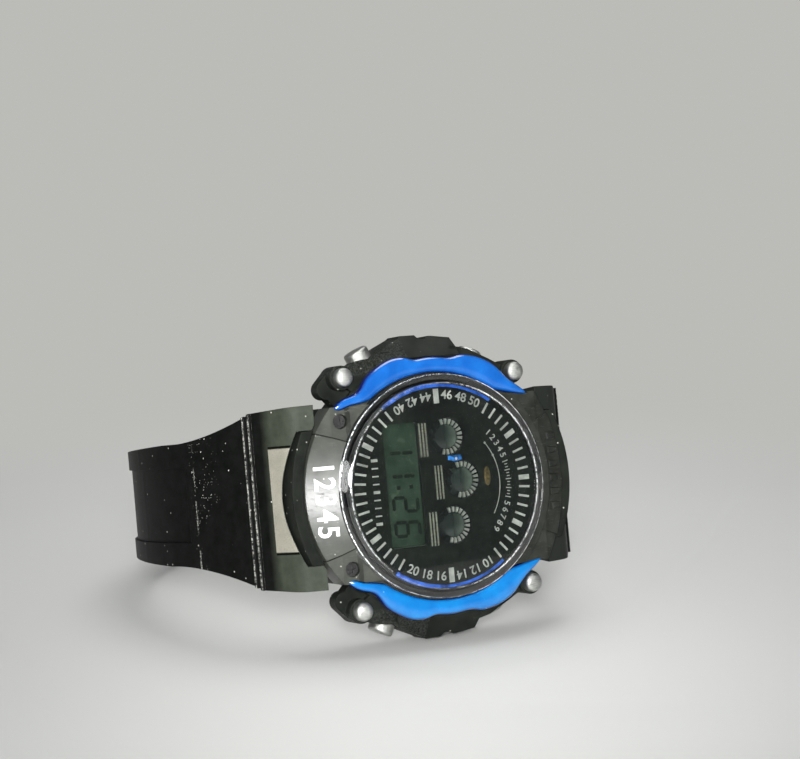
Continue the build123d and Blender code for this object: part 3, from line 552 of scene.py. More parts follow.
def strap_resin():
    """Strap resin: matt and greyer on the shoulders, partly painted light, with a painted shadow that darkens
    them to black beyond; dust and painted highlights on the ribs.
    """
    paint = Paint("strap_resin", roughness=0.4)
    space = paint.watch_space()
    along = paint.coordinate(space, "Y")
    level = paint.coordinate(space, "Z")
    # Painted light and shade: grey above the upper level, partly the matt resin and partly painted light,
    # turning black under a painted shadow below it.
    lit_shoulder = paint.ramp(level, *SHOULDER_SHADOW_LEVELS)
    cloud = paint.cloud(space, 0.5, 5.0, 0.6)
    grey = paint.mix(cloud, (0.021, 0.025, 0.018), (0.037, 0.043, 0.031))
    grey = paint.mix(paint.ramp(along, 0.0, 14.0), grey, (0.012, 0.014, 0.012))
    black = paint.mix(cloud, (0.0025, 0.003, 0.0025), (0.006, 0.0065, 0.006))
    dust_and_highlights = strap_dust(paint, space, along, level)
    paint.set("Base Color", paint.over(paint.mix(lit_shoulder, black, grey), dust_and_highlights, 0.75, (0.55, 0.55, 0.5)))
    paint.set("Roughness", paint.ramp(lit_shoulder, 0.0, 1.0, 0.4, 0.55))
    paint.set("Specular IOR Level", paint.ramp(lit_shoulder, 0.0, 1.0, 0.03, 0.12))
    paint.soft_edges(0.15)
    paint.grain(space, 8.0, 0.02)
    paint.bump(dust_and_highlights, 0.05)
    return paint.material


def inlay():
    """Pale matt inlay of the strap's shoulders, finely grained, with a dark seam at its two ends."""
    paint = Paint("pale_inlay", roughness=0.5)
    space = paint.watch_space()
    tone = paint.mix(paint.cloud(space, 0.5), (0.19, 0.184, 0.145), (0.228, 0.216, 0.178))
    fine = paint.ramp(paint.noise(space, 5.0, 3.0, 0.7), 0.45, 0.7)
    tone = paint.over(tone, fine, 0.4, (0.11, 0.11, 0.09))
    seam = paint.ramp(paint.absolute(paint.coordinate(space, "X")), *INLAY_SEAM)
    paint.set("Base Color", paint.mix(seam, tone, (0.004, 0.005, 0.004)))
    paint.set("Specular IOR Level", paint.ramp(seam, 0.0, 1.0, 0.4, 0.0))
    paint.bump(fine, -0.03)
    return paint.material


def metal(name, colour, roughness, scratches=1.0):
    """Satin metal with fine crossed scratches, deeper on the 12 o'clock side."""
    paint = Paint(name, colour, roughness, metallic=1.0)
    space = paint.watch_space()
    one_way, other_way = (paint.streaks(space, turn, (9, 0.8), 0.5, 0.72, detail=4.0) for turn in (0.5, 2.1))
    worn = paint.larger(one_way, other_way)
    depth = paint.ramp(paint.coordinate(space, "Y"), 8.0, 12.0, 0.5 * scratches, 0.95 * scratches)
    tone = paint.mix(paint.cloud(space, 1.6, 3.0), shaded(colour, 0.8), colour)
    paint.set("Base Color", paint.over(tone, worn, depth, shaded(colour, 0.25)))
    paint.set("Roughness", paint.ramp(worn, 0.0, 1.0, roughness, roughness + 0.25))
    paint.bump(worn, -0.03 * scratches)
    return paint.material


def lacquer():
    """Glossy blue, with painted shade darkening it where the moulding turns down to its seam."""
    paint = Paint("blue_lacquer", roughness=0.2, Coat_Weight=0.8, Coat_Roughness=0.05)
    space = paint.watch_space()
    side = paint.ramp(paint.coordinate(space, "X"), -10.0, 10.0)
    deep = paint.mix(side, (0.003, 0.068, 0.29), (0.003, 0.105, 0.33))
    lit_tone = paint.mix(side, (0.006, 0.1, 0.37), (0.004, 0.145, 0.4))
    face = paint.mix(paint.cloud(space, 0.35, low=0.35), deep, lit_tone)
    # Painted shade: navy where the surface turns away from the dial's face.
    tone = paint.mix(paint.ramp(paint.facing_out(), 0.3, 0.9), (0.003, 0.008, 0.1), face)
    paint.set("Base Color", paint.over(tone, paint.specks(space, 0.9, 0.12, 0.14), 0.5, (0.75, 0.8, 0.85)))
    scuff = paint.ramp(paint.noise(space, 2.2, 5.0, 0.7), 0.5, 0.8)
    paint.set("Roughness", paint.ramp(scuff, 0.0, 1.0, 0.16, 0.34))
    paint.grain(space, 0.9, 0.06, detail=3.0)
    return paint.material


def acrylic():
    """Clear acrylic with a few hairline marks, and paler rims on its upper face: wear, and a painted highlight
    that is strongest towards 12 and 6 o'clock.
    """
    paint = Paint("clear_acrylic", (0.97, 0.99, 0.98), 0.02, Transmission_Weight=1.0, IOR=1.49)
    space = paint.watch_space()
    radius = paint.radius(space)
    along = paint.coordinate(space, "Y")
    rings = paint.ramp(paint.rings(space, 5.5, 3.0, 0.8), 0.48, 0.56)
    # Painted highlight and wear: broken pale rings at the face's rim and the outer rim, turned to a whitish
    # surface.
    face_rim = paint.times(paint.line(radius, LENS_FACE_RADIUS, LENS_FACE_GLINT_AND_WEAR), rings)
    worn = paint.larger(face_rim, paint.line(radius, LENS_RADIUS - LENS_RIM_INSET, LENS_RIM_GLINT_AND_WEAR))
    broken = paint.ramp(paint.noise(space, 2.0, 5.0, 0.8), 0.42, 0.58, 0.05, 1.0)
    # Painted highlight: the rims are brightest towards 12 o'clock, and less so towards 6 o'clock.
    glint_sides = paint.larger(paint.ramp(along, 2.0, 9.0, 0.35, 1.3), paint.ramp(along, -9.0, -14.0, 0.35, 0.8))
    upper = paint.ramp(paint.coordinate(space, "Z"), LENS_BACK_LEVEL, LENS_BACK_LEVEL + LENS_GLINT_AND_WEAR_FADE)
    worn = paint.times(worn, broken, glint_sides, upper)
    hair = paint.streaks(space, 0.7, (6, 0.3), 0.66, 0.76, detail=5.0)
    roughness = paint.larger(paint.ramp(hair, 0.0, 1.0, 0.02, 0.12), paint.ramp(worn, 0.0, 1.0, 0.02, 0.3))
    paint.set("Transmission Weight", paint.ramp(worn, 0.1, 0.7, 1.0, 0.0))
    paint.set("Roughness", roughness)
    return paint.material


def window_green():
    """Dark window of a round opening, with painted light making it greener and paler where its dome faces 12
    o'clock.
    """
    paint = Paint("eye_green", roughness=0.15, Coat_Weight=0.6)
    space = paint.watch_space()
    # Painted light: paler where the dome's surface faces 12 o'clock.
    lit_twelve_side = paint.ramp(paint.facing((1, 0, 0)), -0.04, 0.22)
    tone = paint.mix(lit_twelve_side, (0.01, 0.017, 0.014), (0.1, 0.135, 0.105))
    paint.set("Base Color", paint.over(tone, paint.cloud(space, 1.2), 0.4, (0.02, 0.035, 0.03)))
    paint.grain(space, 1.0, 0.02)
    return paint.material


def clouded(name, colour, roughness, metallic=0.0, scale=2.0, spread=0.25, depth=0.01, **sockets):
    """A surface with a cloudy tone and a fine grain."""
    paint = Paint(name, colour, roughness, metallic, **sockets)
    space = paint.space()
    cloud = paint.cloud(space, scale)
    paint.set("Base Color", paint.mix(cloud, shaded(colour, 1 - spread), shaded(colour, 1 + spread)))
    paint.set("Roughness", paint.ramp(cloud, 0.0, 1.0, roughness * 0.85, roughness * 1.15))
    paint.grain(space, scale * 6, depth)
    return paint.material


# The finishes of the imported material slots, by slot
finishes = {
    "resin_black": case_resin(),
    "resin_grey": bezel_resin(),
    "turned_steel": turned_steel(),
    "strap_resin": strap_resin(),
    "blue_lacquer": lacquer(),
    "pale_inlay": inlay(),
    "satin_steel": metal("satin_steel", (0.52, 0.53, 0.5), 0.34),
    "screw_steel": metal("screw_steel", (0.07, 0.07, 0.07), 0.35, scratches=0.4),
    "clear_acrylic": acrylic(),
    "dial_black": clouded(
        "dial_black", (0.008, 0.011, 0.008), 0.35, scale=0.9, spread=0.6, Specular_IOR_Level=0.2
    ),
    "lcd_glass": clouded(
        "lcd_glass", (0.03, 0.053, 0.034), 0.25, scale=0.4, depth=0.003, Specular_IOR_Level=0.2
    ),
    "light_guide": clouded("light_guide", (0.012, 0.018, 0.016), 0.15, scale=0.6, spread=0.3),
    "module_plastic": clouded("module_plastic", (0.55, 0.55, 0.5), 0.5),
    "board_green": clouded("board_green", (0.03, 0.2, 0.08), 0.35),
    "led_body": clouded("led_body", (0.8, 0.85, 0.95), 0.2),
    "brass_disc": clouded("brass_disc", (0.7, 0.52, 0.22), 0.3, metallic=1.0),
    "gasket_rubber": clouded("gasket_rubber", (0.02, 0.02, 0.02), 0.7),
}

# The finishes of the pieces that are made here
eye_green = window_green()
white_print = clouded("white_print", (0.72, 0.73, 0.7), 0.4, scale=3.0, spread=0.1)
silver_print = metal("silver_print", (0.95, 0.95, 0.86), 0.3, scratches=0.5)
foil_silver = metal("foil_silver", (0.85, 0.87, 0.7), 0.3, scratches=1.7)
foil_dark = clouded("foil_dark", (0.02, 0.022, 0.019), 0.35, metallic=0.4)
lcd_dark = clouded("lcd_dark", (0.006, 0.01, 0.008), 0.6, Specular_IOR_Level=0.1)
dial_print = clouded("dial_print", (0.5, 0.51, 0.47), 0.4, scale=0.7, spread=0.3)
blue_lens = clouded("blue_lens", (0.02, 0.16, 0.5), 0.12, scale=1.6, spread=0.7, Coat_Weight=1.0)
blue_glint = clouded("blue_glint", (0.02, 0.09, 0.42), 0.15, scale=0.8, spread=0.7, Coat_Weight=1.0)
gold_mark = clouded("gold_mark", (0.16, 0.115, 0.045), 0.35, metallic=0.6, scale=2.5, spread=0.6)


def dress_nodes():
    """Gives every CAD node the finish of its material slot, and the back cover its turned steel."""
    for name, node in nodes.items():
        for slot in node.material_slots:
            packed = slot.material.name.split(".")[0]
            slot.material = finishes["turned_steel" if name == "back_cover" else packed]


# Shapes


def lathe(shape, profile, steps, centre=(0, 0)):
    """Adds a turned form: a profile of radius and level, from the axis to the axis."""
    angles = [2 * math.pi * i / steps for i in range(steps)]
    rings = []
    for radius, level in profile:
        if radius == 0:
            spots = [centre]
        else:
            spots = [(centre[0] + radius * math.cos(a), centre[1] + radius * math.sin(a)) for a in angles]
        rings.append([shape.verts.new((x, y, level)) for x, y in spots])
    for low, high in zip(rings, rings[1:]):
        for i in range(steps):
            j = (i + 1) % steps
            corners = [low[i % len(low)], low[j % len(low)], high[j % len(high)], high[i % len(high)]]
            corners = list(dict.fromkeys(corners))
            if len(corners) > 2:
                shape.faces.new(corners)


def eased(points, radii, steps=5):
    """A line of points with its corners rounded."""
    line = [points[0]]
    for before, corner, after, radius in zip(points, points[1:], points[2:], radii):
        if radius == 0:
            line.append(corner)
            continue
        here = Vector(corner)
        back = (Vector(before) - here).normalized() * radius
        ahead = (Vector(after) - here).normalized() * radius
        for i in range(steps + 1):
            share = i / steps
            line.append(tuple(here + back * (1 - share) ** 2 + ahead * share**2))
    line.append(points[-1])
    return line


def flat(level):
    """A level ground for prism."""
    return lambda x, y: level


DIAL = flat(DIAL_LEVEL)


def plate_slope(x, y):
    """Level of the sloping plates at 6 and 12 o'clock."""
    return DIAL_LEVEL - max(0.0, abs(y) - SLOPE_START) * math.tan(math.radians(SLOPE_ANGLE))


def prism(shape, outline, ground, thickness, sink=SINK, top_share=1.0):
    """Adds a straight-sided form that stands on a ground, its top narrowed to a share of its foot."""
    centre_x = sum(x for x, y in outline) / len(outline)
    centre_y = sum(y for x, y in outline) / len(outline)
    low = [shape.verts.new((x, y, ground(x, y) - sink)) for x, y in outline]
    high = []
    for x, y in outline:
        top_x = centre_x + (x - centre_x) * top_share
        top_y = centre_y + (y - centre_y) * top_share
        high.append(shape.verts.new((top_x, top_y, ground(x, y) + thickness)))
    shape.faces.new(high)
    shape.faces.new(list(reversed(low)))
    for i in range(len(outline)):
        j = (i + 1) % len(outline)
        shape.faces.new((low[i], low[j], high[j], high[i]))


def moved(points, place):
    return [(x + place[0], y + place[1]) for x, y in points]


def turned(points, angle):
    """Points turned clockwise from 12 o'clock by an angle in degrees."""
    c, s = math.cos(math.radians(angle)), math.sin(math.radians(angle))
    return [(x * c + y * s, -x * s + y * c) for x, y in points]


def oblong(half_width, low, high):
    return [(-half_width, low), (half_width, low), (half_width, high), (-half_width, high)]


def circle(radius, count):
    turn = 2 * math.pi / count
    return [(radius * math.cos(i * turn), radius * math.sin(i * turn)) for i in range(count)]


def arc_band(shape, inner, outer, start, end, steps=48):
    """Prints a curved line on the dial, from one angle to another."""
    for i in range(steps):
        first = start + (end - start) * i / steps
        last = start + (end - start) * (i + 1) / steps
        corners = []
        for angle, radius in ((first, inner), (first, outer), (last, outer), (last, inner)):
            corners += turned([(0, radius)], angle)
        prism(shape, corners, DIAL, PRINT_THICKNESS)


def numerals(shape, text, height, angle, radius, level, inward=False):
    """Adds plain numerals on a ring, with their tops outward or inward."""
    curve = bpy.data.curves.new("numerals", "FONT")
    curve.body = text
    curve.size = height * FONT_SIZE_SHARE
    curve.align_x = "CENTER"
    curve.align_y = "CENTER"
    curve.extrude = PRINT_THICKNESS
    curve.offset = height * FONT_BOLD_SHARE
    holder = bpy.data.objects.new("numerals", curve)
    mesh = bpy.data.meshes.new_from_object(holder)
    turn = -math.radians(angle) + (math.pi if inward else 0.0)
    x, y = turned([(0, radius)], angle)[0]
    mesh.transform(Matrix.Translation((x, y, level)) @ Matrix.Rotation(turn, 4, "Z"))
    shape.from_mesh(mesh)
    bpy.data.objects.remove(holder)
    bpy.data.meshes.remove(mesh)
    bpy.data.curves.remove(curve)


def mesh_of(shape, name):
    """The mesh of a shape, which is used up."""
    mesh = bpy.data.meshes.new(name)
    shape.to_mesh(mesh)
    shape.free()
    return mesh


def add(name, data):
    """Puts an object into the scene."""
    made = bpy.data.objects.new(name, data)
    scene.collection.objects.link(made)
    return made


def put(name, shape, material, node=None, crease=None):
    """Makes a piece from a shape drawn in the watch's millimetres, and lets it ride on the watch.

    A crease angle in degrees shades the piece smoothly, but for the edges that are sharper.
    """
    shape.transform(WATCH)
    bmesh.ops.recalc_face_normals(shape, faces=shape.faces)
    shape.normal_update()
    if crease:
        for face in shape.faces:
            face.smooth = True
        for edge in shape.edges:
            if len(edge.link_faces) == 2 and edge.calc_face_angle(0.0) > math.radians(crease):
                edge.smooth = False
    mesh = mesh_of(shape, name)
    mesh.materials.append(material)
    piece = add(name, mesh)
    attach(piece, BODY)
    if node:
        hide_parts(node)


# Pieces that replace nodes


def rounded_glass():
    """The raised lens with a domed face and softly rounded rims."""
    dome = [(r, LENS_FACE_LEVEL + LENS_CROWN * (1 - (r / LENS_FACE_RADIUS) ** 2)) for r in LENS_RINGS]
    rim = [
        dome[-1],
        (LENS_FACE_RADIUS, LENS_FACE_LEVEL),
        (LENS_RADIUS, LENS_BEVEL_LEVEL),
        (LENS_RADIUS, LENS_FOOT_LEVEL),
        (LENS_FACE_RADIUS, LENS_FOOT_LEVEL),
        (LENS_FACE_RADIUS, LENS_BACK_LEVEL),
        (0, LENS_BACK_LEVEL),
    ]
    shape = bmesh.new()
    lathe(shape, dome[:-1] + eased(rim, LENS_ROUNDING), LENS_STEPS)
    put("lens", shape, finishes["clear_acrylic"], node="glass", crease=50)


def domed_pegs():
    """Four pegs with softly domed heads."""
    shape = bmesh.new()
    shank = ((PEG_RADIUS, PEG_COLLAR_LEVEL), (PEG_RADIUS, PEG_FOOT_LEVEL), (0, PEG_FOOT_LEVEL))
    for side in (-1, 1):
        for x, y in PEG_PLACES:
            lathe(shape, PEG_HEAD + shank, PEG_STEPS, (side * x, y))
    put("peg_heads", shape, finishes["satin_steel"], node="bezel_pegs", crease=50)


def outline_of(node):
    """The outline of a node's underside, in order, in the watch's millimetres."""
    weld, flatness = 0.002, 0.01
    mesh = bmesh.new()
    mesh.from_mesh(nodes[node].data)
    mesh.transform(WATCH.inverted() @ nodes[node].matrix_world)
    bmesh.ops.remove_doubles(mesh, verts=mesh.verts, dist=weld)
    mesh.verts.index_update()
    low = min(v.co.z for v in mesh.verts)
    ways = {}
    for edge in mesh.edges:
        under = [f for f in edge.link_faces if max(v.co.z for v in f.verts) < low + flatness]
        if len(under) == 1:
            one, other = edge.verts
            ways.setdefault(one.index, []).append(other.index)
            ways.setdefault(other.index, []).append(one.index)
    mesh.verts.ensure_lookup_table()
    start = next(iter(ways))
    path = [start, ways[start][0]]
    while path[-1] != start:
        path.append(next(n for n in ways[path[-1]] if n != path[-2]))
    points = [mesh.verts[i].co.copy() for i in path[:-1]]
    mesh.free()
    return points


def spaced(points, count):
    """Points at even distances along a line of points."""
    tiny = 1e-9
    lengths = [0.0]
    for a, b in zip(points, points[1:]):
        lengths.append(lengths[-1] + (b - a).length)
    line = []
    for i in range(count + 1):
        wanted = lengths[-1] * i / count
        k = next(k for k in range(1, len(points)) if lengths[k] >= wanted - tiny)
        share = (wanted - lengths[k - 1]) / max(tiny, lengths[k] - lengths[k - 1])
        line.append(points[k - 1].lerp(points[k], share))
    return line


def domed_crescent(node, name):
    """A blue inlay with a softly domed top over its outline."""
    points = outline_of(node)
    first = min(range(len(points)), key=lambda i: points[i].y)
    points = points[first:] + points[:first]
    last = max(range(len(points)), key=lambda i: points[i].y)
    sides = [points[: last + 1], [points[0]] + points[:last - 1:-1]]
    sides.sort(key=lambda side: sum(abs(p.x) for p in side) / len(side))
    inner, outer = (spaced(side, CRESCENT_SIDE_STEPS) for side in sides)
    shape = bmesh.new()
    rows = []
    for a, b in zip(inner, outer):
        rise = CRESCENT_RISE * min(1.0, (b - a).length / CRESCENT_FULL_WIDTH)
        row = [(a.x, a.y, CRESCENT_FOOT_LEVEL)]
        for k in range(CRESCENT_CROSS_STEPS + 1):
            share = (1 - math.cos(math.pi * k / CRESCENT_CROSS_STEPS)) / 2
            bulge = (1 - abs(2 * share - 1) ** CRESCENT_SQUARENESS) ** CRESCENT_FULLNESS
            spot = a.lerp(b, share)
            row.append((spot.x, spot.y, CRESCENT_RIM_LEVEL + rise * bulge))
        row.append((b.x, b.y, CRESCENT_FOOT_LEVEL))
        rows.append([shape.verts.new(p) for p in row])
    for low, high in zip(rows, rows[1:]):
        for i in range(len(low)):
            j = (i + 1) % len(low)
            shape.faces.new((low[i], low[j], high[j], high[i]))
    bmesh.ops.remove_doubles(shape, verts=shape.verts, dist=0.001)
    put(name, shape, finishes["blue_lacquer"], node=node, crease=60)


# Pieces on the dial


def rim_glints():
    """Blue arcs printed at the dial's edge: a painted reflection of the inlays beside it, as the lens's rim
    shows them.
    """
    shape = bmesh.new()
    for middle in GLINT_ANGLES:
        arc_band(shape, GLINT_INNER, GLINT_OUTER, middle - GLINT_HALF_ANGLE, middle + GLINT_HALF_ANGLE)
    put("rim_glints", shape, blue_glint)


def minute_ring():
    """The printed ring: strokes, broad strokes, and plain numerals beside 3 and 9 o'clock."""
    shape = bmesh.new()
    for minute in [*range(51, 61), *range(1, 10), *range(21, 40)]:
        half = RING_BROAD_HALF if minute in (55, 60, 5, 25, 35) else RING_STROKE_HALF
        prism(shape, turned(oblong(half, *RING_STROKE), minute * MINUTE_ANGLE), DIAL, PRINT_THICKNESS)
    for minute in (15, 45):
        stroke = oblong(RING_QUARTER_HALF, *RING_QUARTER)
        prism(shape, turned(stroke, minute * MINUTE_ANGLE), DIAL, PRINT_THICKNESS)
    upper = (10.45, 12.1, 13.75, 46.25, 47.9, 49.55)
    lower = (16.25, 17.9, 19.55, 40.45, 42.1, 43.75)
    for place in upper + lower:
        figure, angle = str(round(place)), place * MINUTE_ANGLE
        numerals(
            shape, figure, RING_FIGURE_HEIGHT, angle, RING_FIGURE_RADIUS, DIAL_LEVEL, inward=place in lower
        )
    put("minute_ring", shape, dial_print)


def inner_scale():
    """The fine scale on the 12 o'clock side, its thin arc, and short strokes below the display."""
    shape = bmesh.new()
    for index in range(5):
        angle = SCALE_FIGURE_START - SCALE_FIGURE_STEP * index
        numerals(shape, str(index + 1), SCALE_FIGURE_HEIGHT, -angle, SCALE_RADIUS, DIAL_LEVEL)
        numerals(shape, str(9 - index), SCALE_FIGURE_HEIGHT, angle, SCALE_RADIUS, DIAL_LEVEL)
    for index in range(-6, 7):
        reach = (SCALE_LONG if index % 3 == 0 else SCALE_SHORT) / 2
        stroke = oblong(SCALE_STROKE_HALF, SCALE_RADIUS - reach, SCALE_RADIUS + reach)
        prism(shape, turned(stroke, index * SCALE_STROKE_STEP), DIAL, PRINT_THICKNESS)
    arc_band(shape, ARC_INNER, ARC_OUTER, ARC_START, ARC_END)
    for angle in ARC_DOT_ANGLES:
        place = turned([(0, (ARC_INNER + ARC_OUTER) / 2)], angle)[0]
        prism(shape, moved(circle(ARC_DOT_RADIUS, 12), place), DIAL, PRINT_THICKNESS)
    for index in range(FOOT_STROKE_COUNT):
        broad = index in (0, FOOT_STROKE_COUNT // 2, FOOT_STROKE_COUNT - 1)
        half = (FOOT_STROKE_BROAD if broad else FOOT_STROKE_THIN) / 2
        place = (FOOT_STROKE_START + index * FOOT_STROKE_PITCH, FOOT_STROKE_PLACE)
        prism(shape, moved(oblong(half, -FOOT_STROKE_REACH, FOOT_STROKE_REACH), place), DIAL, PRINT_THICKNESS)
    put("inner_scale", shape, dial_print)


def digit(shape, figure, centre):
    """One seven-segment figure, a little slanted."""
    half = DIGIT_STROKE / 2
    side, top = DIGIT_WIDTH / 2 - half, DIGIT_HEIGHT / 2 - half
    flat_bar = [(-side + DIGIT_GAP, 0), (-side + half, half), (side - half, half), (side - DIGIT_GAP, 0)]
    flat_bar += [(side - half, -half), (-side + half, -half)]
    tall_bar = [(0, DIGIT_GAP), (half, half), (half, top - half), (0, top - DIGIT_GAP)]
    tall_bar += [(-half, top - half), (-half, half)]
    places = {
        "a": (flat_bar, (0, top)),
        "g": (flat_bar, (0, 0)),
        "d": (flat_bar, (0, -top)),
        "b": (tall_bar, (side, 0)),
        "c": (tall_bar, (side, -top)),
        "f": (tall_bar, (-side, 0)),
        "e": (tall_bar, (-side, -top)),
    }
    for name in SEGMENTS[figure]:
        bar, place = places[name]
        outline = [(x + y * DIGIT_SLANT, y) for x, y in moved(bar, place)]
        prism(shape, moved(outline, centre), flat(LCD_LEVEL), DIGIT_THICKNESS, sink=DIGIT_SINK)


def display():
    """The display's dark figures."""
    shape = bmesh.new()
    for x, figure in DISPLAY_FIGURES:
        digit(shape, figure, (x, DISPLAY_ROW))
    for place in DISPLAY_COLON:
        dot = moved(oblong(COLON_HALF, -COLON_HALF, COLON_HALF), place)
        prism(shape, dot, flat(LCD_LEVEL), DIGIT_THICKNESS)
    put("display_figures", shape, lcd_dark)


def eye_rings():
    """A domed window in each round opening, with silvered teeth round its 12 o'clock side."""
    teeth, domes = bmesh.new(), bmesh.new()
    for place in EYES:
        for index in range(TOOTH_COUNT):
            tooth = moved(turned(TOOTH_OUTLINE, TOOTH_START + index * TOOTH_STEP), place)
            prism(teeth, tooth, flat(EYE_LEVEL), TOOTH_HEIGHT, top_share=TOOTH_TOP_SHARE)
        lathe(domes, EYE_DOME, EYE_STEPS, place)
    put("eye_rings", teeth, silver_print)
    put("eye_domes", domes, eye_green, crease=60)


def foil_bars():
    """Three ribbed silver bars between the display and the round windows."""
    ribs, bases = bmesh.new(), bmesh.new()
    rib_ground = flat(DIAL_LEVEL + FOIL_RIB_FOOT)
    for place in FOIL_PLACES:
        base = moved(oblong(FOIL_HALF_LENGTH, -FOIL_HALF_WIDTH, FOIL_HALF_WIDTH), place)
        prism(bases, base, DIAL, FOIL_THICKNESS)
        for offset in FOIL_RIB_PLACES:
            rib = oblong(FOIL_RIB_HALF_LENGTH, offset - FOIL_RIB_HALF_WIDTH, offset + FOIL_RIB_HALF_WIDTH)
            prism(ribs, moved(rib, place), rib_ground, FOIL_RIB_HEIGHT, top_share=FOIL_RIB_TOP_SHARE)
    put("foil_bars", ribs, foil_silver)
    put("foil_base", bases, foil_dark)


def dial_jewels():
    """A small blue indicator with a white disc painted as its highlight, and an oval gold mark."""
    indicator, glint_disc, gold = bmesh.new(), bmesh.new(), bmesh.new()
    outline = moved(INDICATOR_OUTLINE, INDICATOR_PLACE)
    prism(indicator, outline, DIAL, INDICATOR_HEIGHT, top_share=INDICATOR_TOP_SHARE)
    put("indicator_lens", indicator, blue_lens)
    # Painted highlight: a small white disc on the indicator.
    outline = moved(circle(GLINT_DISC_RADIUS, 10), GLINT_DISC_PLACE)
    prism(glint_disc, outline, flat(DIAL_LEVEL + GLINT_DISC_FOOT), GLINT_DISC_HEIGHT, top_share=GLINT_DISC_TOP_SHARE)
    put("indicator_glint", glint_disc, white_print)
    outline = [(x * GOLD_HALF_LENGTH, y * GOLD_HALF_WIDTH) for x, y in circle(1.0, 28)]
    prism(gold, moved(outline, GOLD_PLACE), DIAL, GOLD_HEIGHT, top_share=GOLD_TOP_SHARE)
    put("gold_mark", gold, gold_mark)


# Pieces on the plates


def plate_figures():
    """Plain white figures on the 6 o'clock plate, which follow its slope."""
    white = bmesh.new()
    middle_x, middle_y = PLATE_FIGURE_MIDDLE
    for index in range(PLATE_FIGURE_COUNT):
        figure = bmesh.new()
        numerals(figure, str(index + 1), PLATE_FIGURE_HEIGHT, 0, 0, 0)
        place = middle_x + (index - (PLATE_FIGURE_COUNT - 1) / 2) * PLATE_FIGURE_PITCH
        for vertex in figure.verts:
            x, y = vertex.co.x + place, vertex.co.y + middle_y
            vertex.co = (x, y, vertex.co.z + plate_slope(x, y))
        mesh = mesh_of(figure, "figure")
        white.from_mesh(mesh)
        bpy.data.meshes.remove(mesh)
    put("plate_figures", white, white_print)


def plate_ribs():
    """Raised ribs on the 12 o'clock plate, narrower towards the strap."""
    ribs = bmesh.new()
    outline = [
        (-PLATE_RIB_NEAR_HALF, PLATE_RIB_NEAR),
        (PLATE_RIB_NEAR_HALF, PLATE_RIB_NEAR),
        (PLATE_RIB_FAR_HALF, PLATE_RIB_FAR),
        (-PLATE_RIB_FAR_HALF, PLATE_RIB_FAR),
    ]
    for index in range(PLATE_RIB_COUNT):
        x = PLATE_RIB_MIDDLE + (index - (PLATE_RIB_COUNT - 1) / 2) * PLATE_RIB_PITCH
        rib = moved(outline, (x, 0))
        prism(ribs, rib, plate_slope, PLATE_RIB_HEIGHT, top_share=PLATE_RIB_TOP_SHARE)
    put("plate_ribs", ribs, finishes["resin_grey"])


# The room


def floor():
    """A pale floor that fades into the backdrop away from the watch."""
    paint = Paint("pale_floor", roughness=0.6, Specular_IOR_Level=0.1)
    space = paint.space()
    cloud = paint.cloud(space, 0.004, 3.0)
    paint.set("Base Color", paint.mix(cloud, (0.43, 0.43, 0.415), (0.47, 0.47, 0.455)))
    paint.grain(space, 0.5, 0.01, detail=3.0)
    distance = paint.node("VectorMath", {0: space}, output="Value", operation="LENGTH")
    fade = paint.ramp(distance, *FLOOR_FADE)
    glow = paint.node("Emission", {"Color": (*BACKDROP, 1.0), "Strength": 1.0})
    surface = paint.node("MixShader", {0: fade, 1: paint.shader.outputs[0], 2: glow})
    paint.feed(paint.output.inputs["Surface"], surface)

    shape = bmesh.new()
    bmesh.ops.create_circle(shape, cap_ends=True, segments=FLOOR_STEPS, radius=FLOOR_RADIUS)
    mesh = mesh_of(shape, "floor")
    mesh.materials.append(paint.material)
    add("floor", mesh)


def sky():
    """Soft light from all round, dimmer in mirrors, and the plain backdrop that the camera sees."""
    world = bpy.data.worlds.new("studio")
    world.use_nodes = True
    scene.world = world
    tree = world.node_tree

    def background(colour, strength, node=None):
        node = node or tree.nodes.new("ShaderNodeBackground")
        node.inputs["Color"].default_value = (*colour, 1.0)
        node.inputs["Strength"].default_value = strength
        return node.outputs[0]

    shown = background(SKY, SKY_STRENGTH, tree.nodes["Background"])
    mirrored = background(SKY_MIRRORED, SKY_MIRRORED_STRENGTH)
    seen = background(BACKDROP, 1.0)
    path = tree.nodes.new("ShaderNodeLightPath")
    for ray, other in (("Is Glossy Ray", mirrored), ("Is Camera Ray", seen)):
        mixed = tree.nodes.new("ShaderNodeMixShader")
        tree.links.new(path.outputs[ray], mixed.inputs[0])
        tree.links.new(shown, mixed.inputs[1])
        tree.links.new(other, mixed.inputs[2])
        shown = mixed.outputs[0]
    tree.links.new(shown, tree.nodes["World Output"].inputs["Surface"])


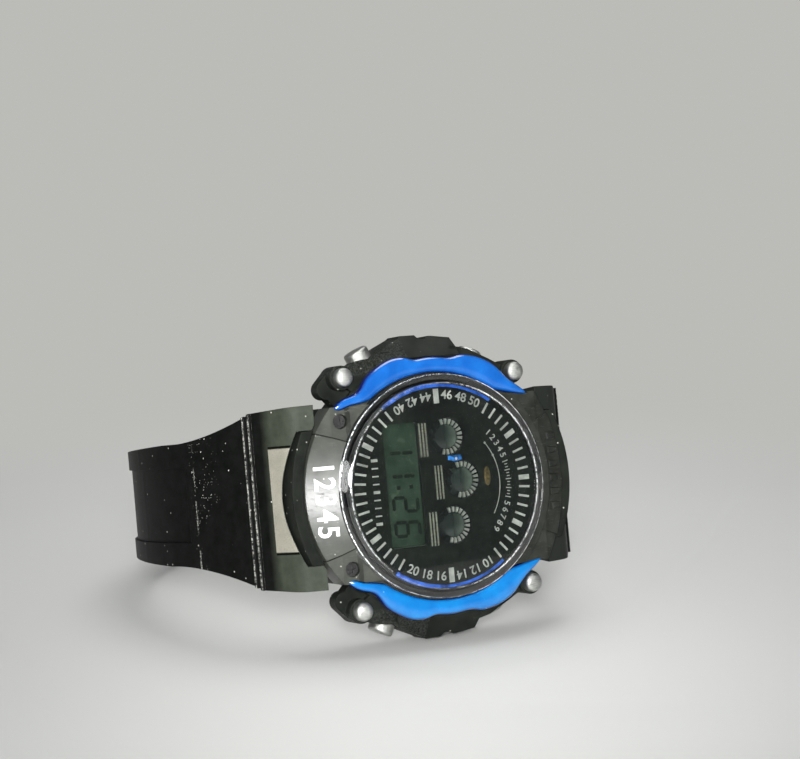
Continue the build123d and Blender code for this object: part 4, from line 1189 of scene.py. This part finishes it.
def lamp(name, place, target, size, power, spread=180):
    """A round soft lamp that points at its target, spread in degrees."""
    data = bpy.data.lights.new(name, "AREA")
    data.shape = "DISK"
    data.size = size
    data.energy = power
    data.spread = math.radians(spread)
    made = add(name, data)
    made.location = place
    made.rotation_euler = (Vector(target) - Vector(place)).to_track_quat("-Z", "Y").to_euler()


def camera():
    """The photograph's camera."""
    three = Vector(SEEN_THREE).normalized()
    twelve = Vector(SEEN_TWELVE)
    twelve = (twelve - three * twelve.dot(three)).normalized()
    to_camera = Matrix((three, twelve, three.cross(twelve))).transposed()
    place = Vector((0, 0, DIAL_LEVEL)) - to_camera.transposed() @ Vector(SEEN_DIAL)
    turn = WATCH.to_3x3() @ Matrix.Scale(1 / MM, 3)
    right, down, forward = (turn @ Vector(row) for row in to_camera)
    data = bpy.data.cameras.new("camera")
    data.sensor_width = SENSOR_WIDTH
    data.lens = FOCAL_LENGTH
    data.shift_y = PHOTO_SHIFT / PHOTO_WIDTH
    data.clip_start = CLIP_START
    made = add("camera", data)
    basis = Matrix((right, -down, -forward)).transposed().to_4x4()
    made.matrix_world = Matrix.Translation(WATCH @ place) @ basis
    scene.camera = made
    return made


def lamps(viewer):
    """Two small lamps near the camera, for the highlights, and a large one overhead."""
    eye = viewer.matrix_world.translation
    right = viewer.matrix_world.to_3x3().col[0]
    up = Vector((0, 0, 1))
    middle = WATCH @ Vector((0, 0, DIAL_LEVEL / 2))
    lamp("key", eye + up * KEY_RISE, middle, size=0.07, power=0.075, spread=34)
    lamp("fill", eye - right * FILL_LEFT + up * FILL_RISE, middle, size=0.4, power=0.05, spread=70)
    lamp("top", TOP_PLACE, TOP_TARGET, size=1.2, power=18.0)


dress_nodes()
rounded_glass()
domed_pegs()
domed_crescent("crescent_three", "inlay_three")
domed_crescent("crescent_nine", "inlay_nine")
rim_glints()
minute_ring()
inner_scale()
display()
eye_rings()
foil_bars()
dial_jewels()
plate_figures()
plate_ribs()
floor()
sky()
lamps(camera())

scene.view_settings.view_transform = "Standard"
